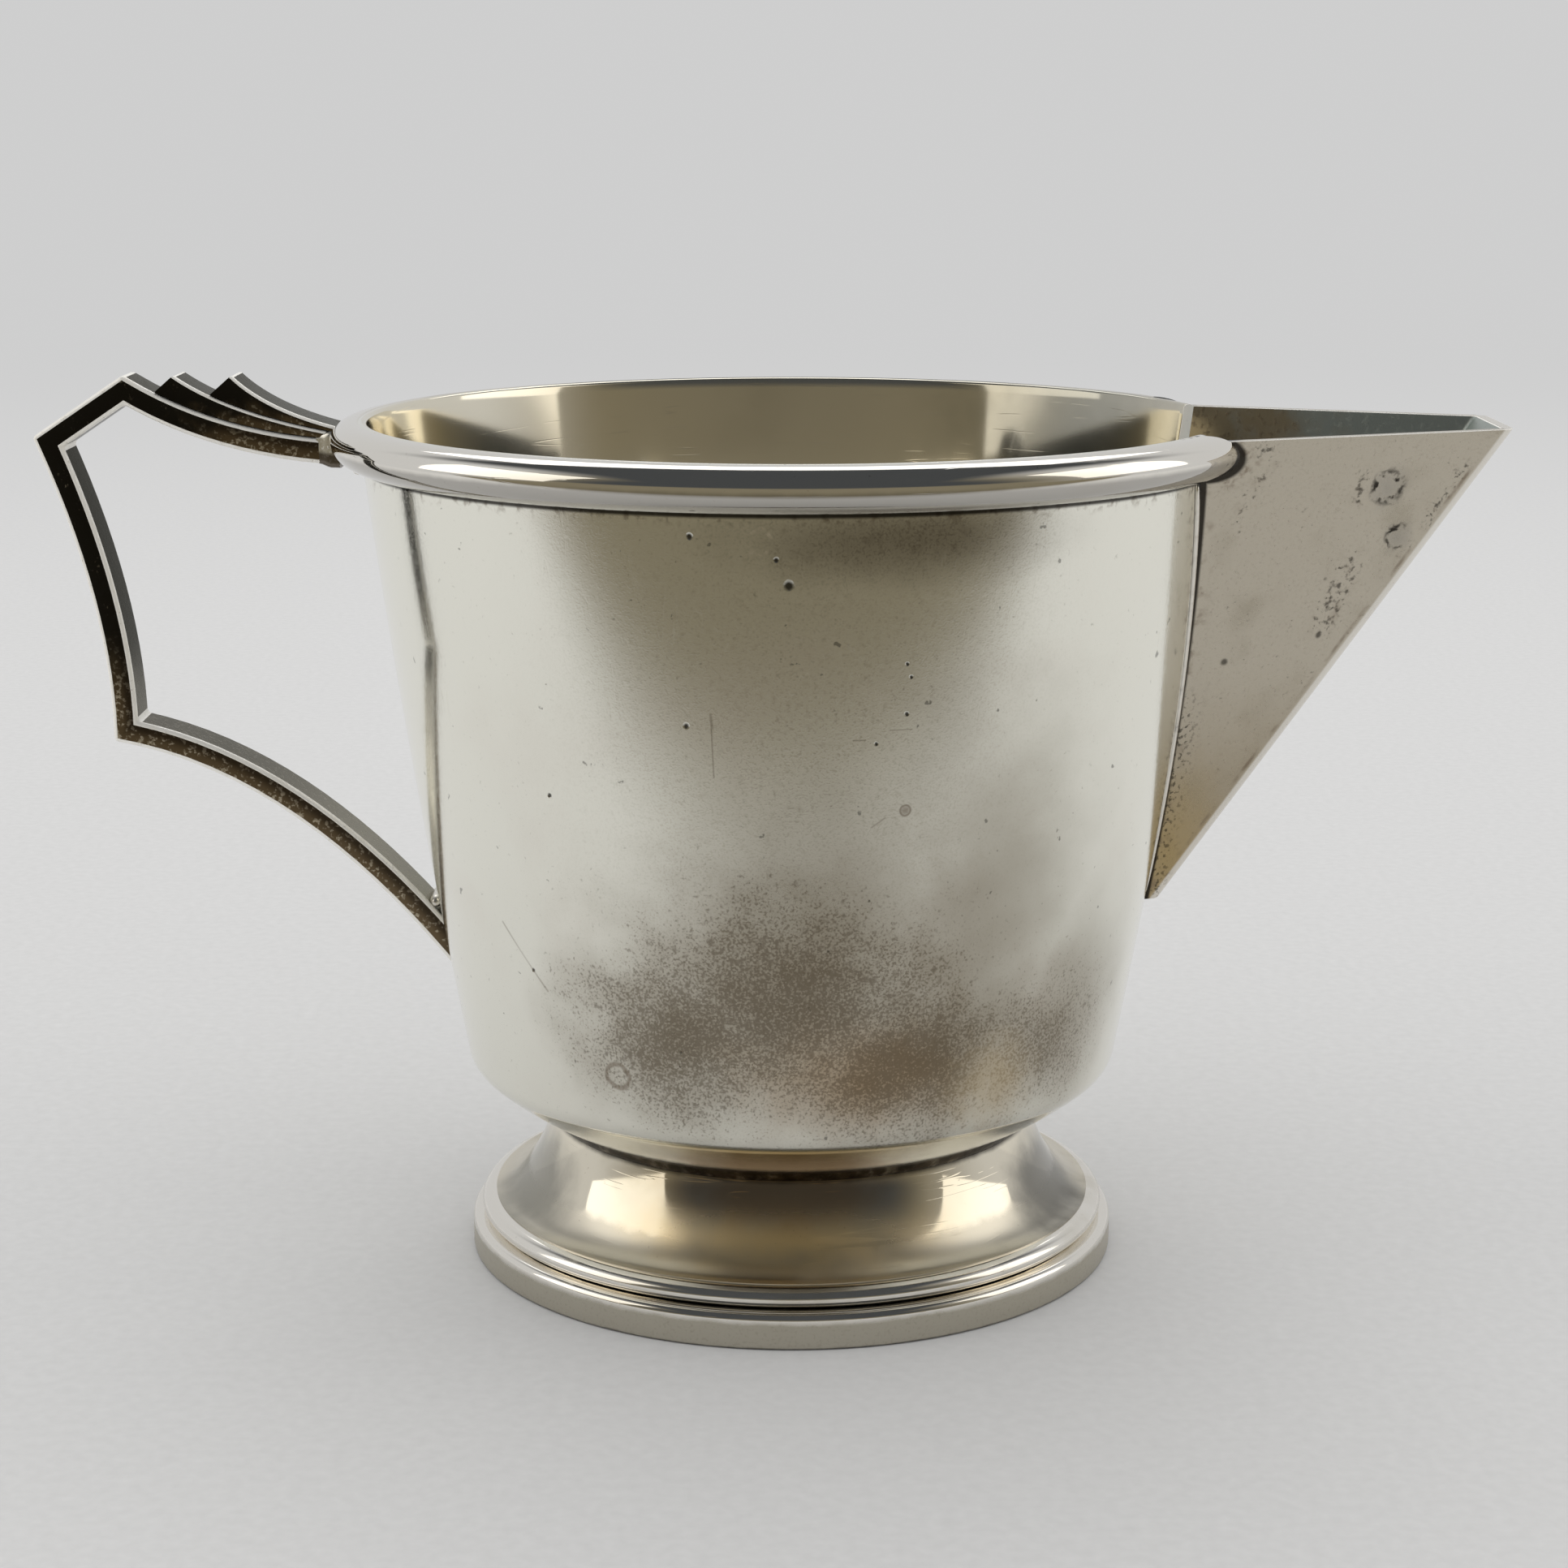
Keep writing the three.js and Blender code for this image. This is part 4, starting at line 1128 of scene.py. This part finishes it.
def polished(name, tint, shade, dirt_and_shade_bands, rough, dull_below=NOWHERE, film_below=NOWHERE, films=()):
    skin = Finish(name, tint)
    clouds = specks(skin, 8.0, 0.45, 0.3)
    skin.lay(shade, clouds, 0.4)
    dull = band(skin, UNDER_TABLE, dull_below, 0.5, 0.4)
    skin.lay(DULL_SIDE, dull, 0.8)
    skin.lay(DULL_GRAIN, dull * specks(skin, 0.25, 0.5, 0.3), 0.5)
    grey = band(skin, UNDER_TABLE, film_below, 0.9, 0.8) * (clouds * 0.4 + 0.5)
    golden = patch(skin, (-0.5, -23, film_below), (13, 9, 2.8), 0.15, 3.0)["Soft"] * 0.95
    skin.lay(GREY_FILM, grey)
    skin.lay(GOLDEN_FILM, golden)
    brown = patch(skin, (-0.5, -22, film_below + 3.4), (13, 8, 3.4), 0.15, 3.0)["Mask"]
    skin.lay(BROWN_FILM, brown, 0.85)
    for centre, reach, stain in films:
        skin.lay(stain, patch(skin, centre, reach, 0.2, 3.0)["Mask"], 0.85)
    # Dark bands: painted shadow in creases, grooves and at the ring's foot, and darkening on the rim wire.
    for low, high, blur, strength in dirt_and_shade_bands:
        skin.lay(DIRT, band(skin, low, high, blur, 0.25), strength)
    skin.lay(BROWN, specks(skin, 0.35, 0.1, 0.1), 0.3)
    hairlines = hair(skin, 0.8, LEVEL, 0.02)
    roughness = clouds * 0.05 + hairlines * 0.06 + dull * 0.28 + most_of(grey, golden) * 0.5 + rough
    return skin.surface(roughness, hairlines * -1.0, 0.003)


# The rim wire is darker on its lower half, and a dark line runs along its joint with the wall.
rim_dark_bands = [(66.0, 68.4, 0.5, 0.45), (66.0, 66.6, 0.12, 0.8)]
# Painted shadow: the crease above the foot's neck, the groove under the bead and the ring's foot on the table.
neck_crease_shadow, bead_groove_shade, ring_contact_shadow = [(11.0, 12.6, 0.5, 0.85)], [(2.6, 3.0, 0.1, 0.5)], [(-0.3, 0.25, 0.2, 0.6)]
rim_wire.data.materials.append(polished("polished rim", SILVER, CREAM, rim_dark_bands, 0.05))
foot_finish = polished("polished foot", FOOT_TINT, OLIVE, neck_crease_shadow, 0.05, film_below=7.2, films=FLANK_FILMS)
foot.data.materials.append(foot_finish)
bead_wire.data.materials.append(polished("polished bead", SILVER, OLIVE, bead_groove_shade, 0.12))
foot_wire.data.materials.append(polished("foot ring", SILVER, CREAM, ring_contact_shadow, 0.07, dull_below=2.4))

# %% [markdown]
# ## Spout plates
# The side plates are flat satin sheet, handled when pouring, with dried ring-shaped stains near the lip, dirt round
# the end of the rim, a fine dark line beside the front fold and a golden tint towards the tip. A painted highlight
# runs down the front panel and its folds. The inside is brown from what was poured.

# %% Spout plates
STAINS = (((47.3, -7.9, 65.1), (1.75, 2.45, 1.75)), ((48.6, -5.8, 60.9), (1.3, 1.82, 1.3)))
STREAKS = (((53.9, -5.7, 66.8), (51.0, -5.2, 62.0), 0.7), ((36.6, -13.0, 66.4), (35.0, -12.6, 62.8), 0.9),
           ((44.7, -6.1, 58.8), (43.2, -5.5, 53.8), 1.5), ((45.2, -9.0, 66.2), (45.0, -8.8, 63.9), 0.9),
           ((36.4, -13.8, 68.9), (37.8, -13.2, 67.9), 0.9), ((49.8, -4.9, 60.2), (48.8, -4.8, 59.2), 0.5))
SPOTS = (((42.7, -5.0, 52.7), (0.35, 0.49, 0.35)), ((34.8, -7.4, 50.9), (0.4, 0.56, 0.4)))
PLATE_TINT, PLATE_SHADE, PLATE_GRAIN = (0.52, 0.475, 0.39), (0.36, 0.32, 0.245), (0.31, 0.27, 0.21)
LOWER_TINT, TIP_GOLD, STAIN_GREY = (0.33, 0.265, 0.165), (0.40, 0.29, 0.12), (0.27, 0.26, 0.24)
GREEN_GREY, ROOT_BROWN = (0.42, 0.46, 0.43), (0.36, 0.26, 0.13)


def satin_spout():
    skin = Finish("satin spout", PLATE_TINT)
    clouds, grain = specks(skin, 5.0, 0.5, 0.4), specks(skin, 0.25, 0.5, 0.25)
    skin.lay(PLATE_SHADE, clouds, 0.75)
    skin.lay(PLATE_GRAIN, grain, 0.25)
    skin.lay(LOWER_TINT, band(skin, 25.0, 52.0, 16.0, 3.0), 0.6)
    skin.lay(TIP_GOLD, patch(skin, (31, 0, 33), (5, 30, 9), 0.15, 2.0)["Soft"], 0.8)
    for centre, reach in STAINS:
        stain = patch(skin, centre, reach, 0.45, 1.0)
        skin.lay(STAIN_GREY, stain["Soft"], 0.4)
        skin.lay(DIRT, stain["Ring"] * specks(skin, 1.0, 0.72, 0.25), 0.95)
    streaks = skin.scratches(STREAKS, "Soft")
    skin.lay(BROWN, streaks * specks(skin, 1.2, 0.5, 0.3), 0.5)
    dots = most_of(stippled(skin, streaks * 0.42, 0.6), stippled(skin, streaks * 0.34, 0.3))
    skin.lay(DIRT, dots, 0.72)
    skin.lay(DIRT, skin.patches(SPOTS, 0.2, 0.5, "Mask"), 0.75)
    place = place_parts(skin)
    from_front = place["Z"] * front_lean + (tip_reach - front_lean * SPOUT_TIP) - place["X"]
    fold_line = abs(from_front - 1.25).eased(0.28, 0.05) * specks(skin, 2.5, 0.6, 0.3)
    skin.lay(BROWN, fold_line, 0.75)
    # Painted highlight: the front panel and its folds are laid pale, for the light that their rounding catches.
    skin.lay(SILVER, from_front.eased(1.0, 0.7), 0.75)
    rim_gap, wall_gap = from_rim(skin), from_cup(skin)
    skin.lay(BROWN, wall_gap.eased(1.6, 0.2) * specks(skin, 1.2, 0.5, 0.25), 0.7)
    skin.lay(BROWN, rim_gap.eased(1.7, 0.4) * specks(skin, 0.9, 0.5, 0.2), 0.8)
    seam_dots = wall_gap.eased(2.4, 0.4) * specks(skin, 0.4, 0.42, 0.1) * band(skin, 20.0, 50.0, 4.0, 2.0)
    skin.lay(DIRT, seam_dots, 0.7)
    skin.lay(DIRT, most_of(wall_gap.eased(0.42, 0.2), rim_gap.eased(0.5, 0.2)), 0.95)
    relief = grain * 0.2 - hair(skin, 1.5, SLANTED)
    return skin.surface(clouds * 0.06 + grain * 0.04 + 0.24, relief, 0.006)


def spout_inside():
    skin = Finish("spout inside", GREEN_GREY)
    clouds, grain = specks(skin, 4.0, 0.5, 0.3), specks(skin, 0.6, 0.5, 0.2)
    skin.lay(OLIVE, clouds, 0.3)
    root = patch(skin, (36, 12, 66), (9, 9, 9), 0.5, 3.0)["Mask"]
    skin.lay(ROOT_BROWN, root, 0.75)
    skin.lay(BROWN, root * grain, 0.6)
    skin.lay(BROWN, band(skin, 20.0, 56.0, 8.0, 4.0), 0.6)
    return skin.surface(grain * 0.08 + 0.4, grain, 0.006)


for finish in (satin_spout(), spout_inside(), edge_finish):
    spout.data.materials.append(finish)

# %% [markdown]
# ## Darkened strap and worn arrises
# Hands polish the edges of a handle and leave its hollows black. The broad sides of the strap and the leaves are
# almost black at the thumb, and brown and granular towards the cup. The faces that look upwards at the thumb are
# darkened with painted shade. The direction of a face tells the sides and the upward faces from the rest, and an
# attribute on the corners tells the outer line of the strap from the inner one. Metal seen almost edge-on reflects
# nearly white, whatever its base colour, so the edge tint is lowered too.

# %% Darkened strap
STRAP_GREY, STRAP_PALE, THUMB_TOP_SHADE = (0.27, 0.255, 0.225), (0.40, 0.375, 0.33), (0.10, 0.092, 0.08)
ARM_PALE, HOLLOW_BLACK, EDGE_ON_TINT = (0.60, 0.57, 0.48), (0.04, 0.038, 0.034), (0.5, 0.5, 0.48, 1)
SIDE_BLACK, SIDE_WORN = (0.02, 0.018, 0.015), (0.30, 0.27, 0.22)
SIDE_BROWN, SIDE_TAN, SIDE_SPECKS = (0.06, 0.042, 0.026), (0.26, 0.19, 0.11), (0.70, 0.62, 0.48)


def darkened_strap():
    skin = Finish("darkened strap", STRAP_GREY)
    facing = skin.node("SeparateXYZ", {0: skin.node("NewGeometry")["Normal"]})
    side = abs(facing["Y"]).eased(0.6, 0.9)
    outer = skin.node("Attribute", attribute_name="across")["Fac"]
    inner = 1.0 - outer
    height = place_parts(skin)["Z"]
    at_thumb = height.eased(50.0, 62.0)
    clouds, grain = specks(skin, 2.2, 0.5, 0.25), specks(skin, 0.36, 0.45, 0.14)
    skin.lay(STRAP_PALE, clouds, 0.5)
    # Painted shade on the faces that look upwards near the thumb.
    skin.lay(THUMB_TOP_SHADE, facing["Z"].eased(0.2, 0.6) * at_thumb, 0.75)
    skin.lay(ARM_PALE, height.eased(43.0, 34.0), 0.7)
    skin.lay(HOLLOW_BLACK, inner * height.eased(45.0, 52.0), 0.95)
    near_cup = patch(skin, (-41.5, 0, 66.5), (11, 30, 5), 0.4, 2.0)["Mask"]
    lower = most_of(near_cup, band(skin, 20.0, 53.0, 8.0, 3.0))
    worn = (at_thumb * inner + (1.0 - at_thumb) * outer).eased(0.25, 0.7)
    dark = skin.laid(SIDE_BLACK, SIDE_WORN, clouds * specks(skin, 0.3, 0.3, 0.1), 0.8)
    brown = skin.laid(SIDE_BROWN, SIDE_TAN, worn, 0.7)
    brown = skin.laid(brown, SIDE_SPECKS, grain * (worn * 0.7 + 0.2))
    skin.lay(skin.laid(dark, brown, lower, 0.9), side, 0.97)
    skin.shader.inputs["Specular Tint"].default_value = EDGE_ON_TINT
    return skin.surface(grain * 0.08 + side * 0.1 + 0.2, grain * (lower * 0.7 + 0.3), 0.014)


strap_finish = darkened_strap()
for piece in (strap, leaf_middle, leaf_inner):
    piece.data.materials.append(strap_finish)
    piece.data.materials.append(edge_finish)

# %% [markdown]
# ## Solder
# Silver solder is a little whiter and duller than the sheet, and its edges hold dirt. At the root of the handle its
# lower half is painted shade, so that it is bright only on top. In the crease above the foot its near-black colour
# is painted shadow, flecked with dirt.

# %% Solder
SEAM_TINT, ROOT_TINT, CREASE_SHADOW_TINT = (0.80, 0.77, 0.70), (0.90, 0.88, 0.82), (0.06, 0.048, 0.034)
SOLDER_UNDERSIDE_SHADE = (0.10, 0.075, 0.05)


def solder_finish(name, tint, dirt_share, painted_shade_below=NOWHERE):
    skin = Finish(name, tint)
    clouds, grain = specks(skin, 1.2, 0.5, 0.25), specks(skin, 0.25, 0.3, 0.1)
    skin.lay(TAUPE, clouds, 0.45)
    # Painted shade: below the given height the solder is darkened, so that only its top looks lit.
    skin.lay(SOLDER_UNDERSIDE_SHADE, band(skin, UNDER_TABLE, painted_shade_below, 0.4, 0.8), 0.92)
    skin.lay(DIRT, specks(skin, 1.4, dirt_share, 0.3), 0.85)
    skin.lay(DIRT, from_plates(skin).eased(0.3, 0.12), 0.9)
    return skin.surface(grain * 0.12 + 0.28, grain, 0.01)


pale_solder = solder_finish("pale solder", SEAM_TINT, 0.3)
for piece in (seam_near, seam_far, solder_under_rim, solder_at_arm):
    piece.data.materials.append(pale_solder)
solder_collar.data.materials.append(solder_finish("root solder", ROOT_TINT, 0.25, painted_shade_below=67.3))
# Painted shadow: the crease solder is near black for the shade in the crease; the specks on it are dirt.
foot_fillet.data.materials.append(solder_finish("crease shadow solder", CREASE_SHADOW_TINT, 0.8))
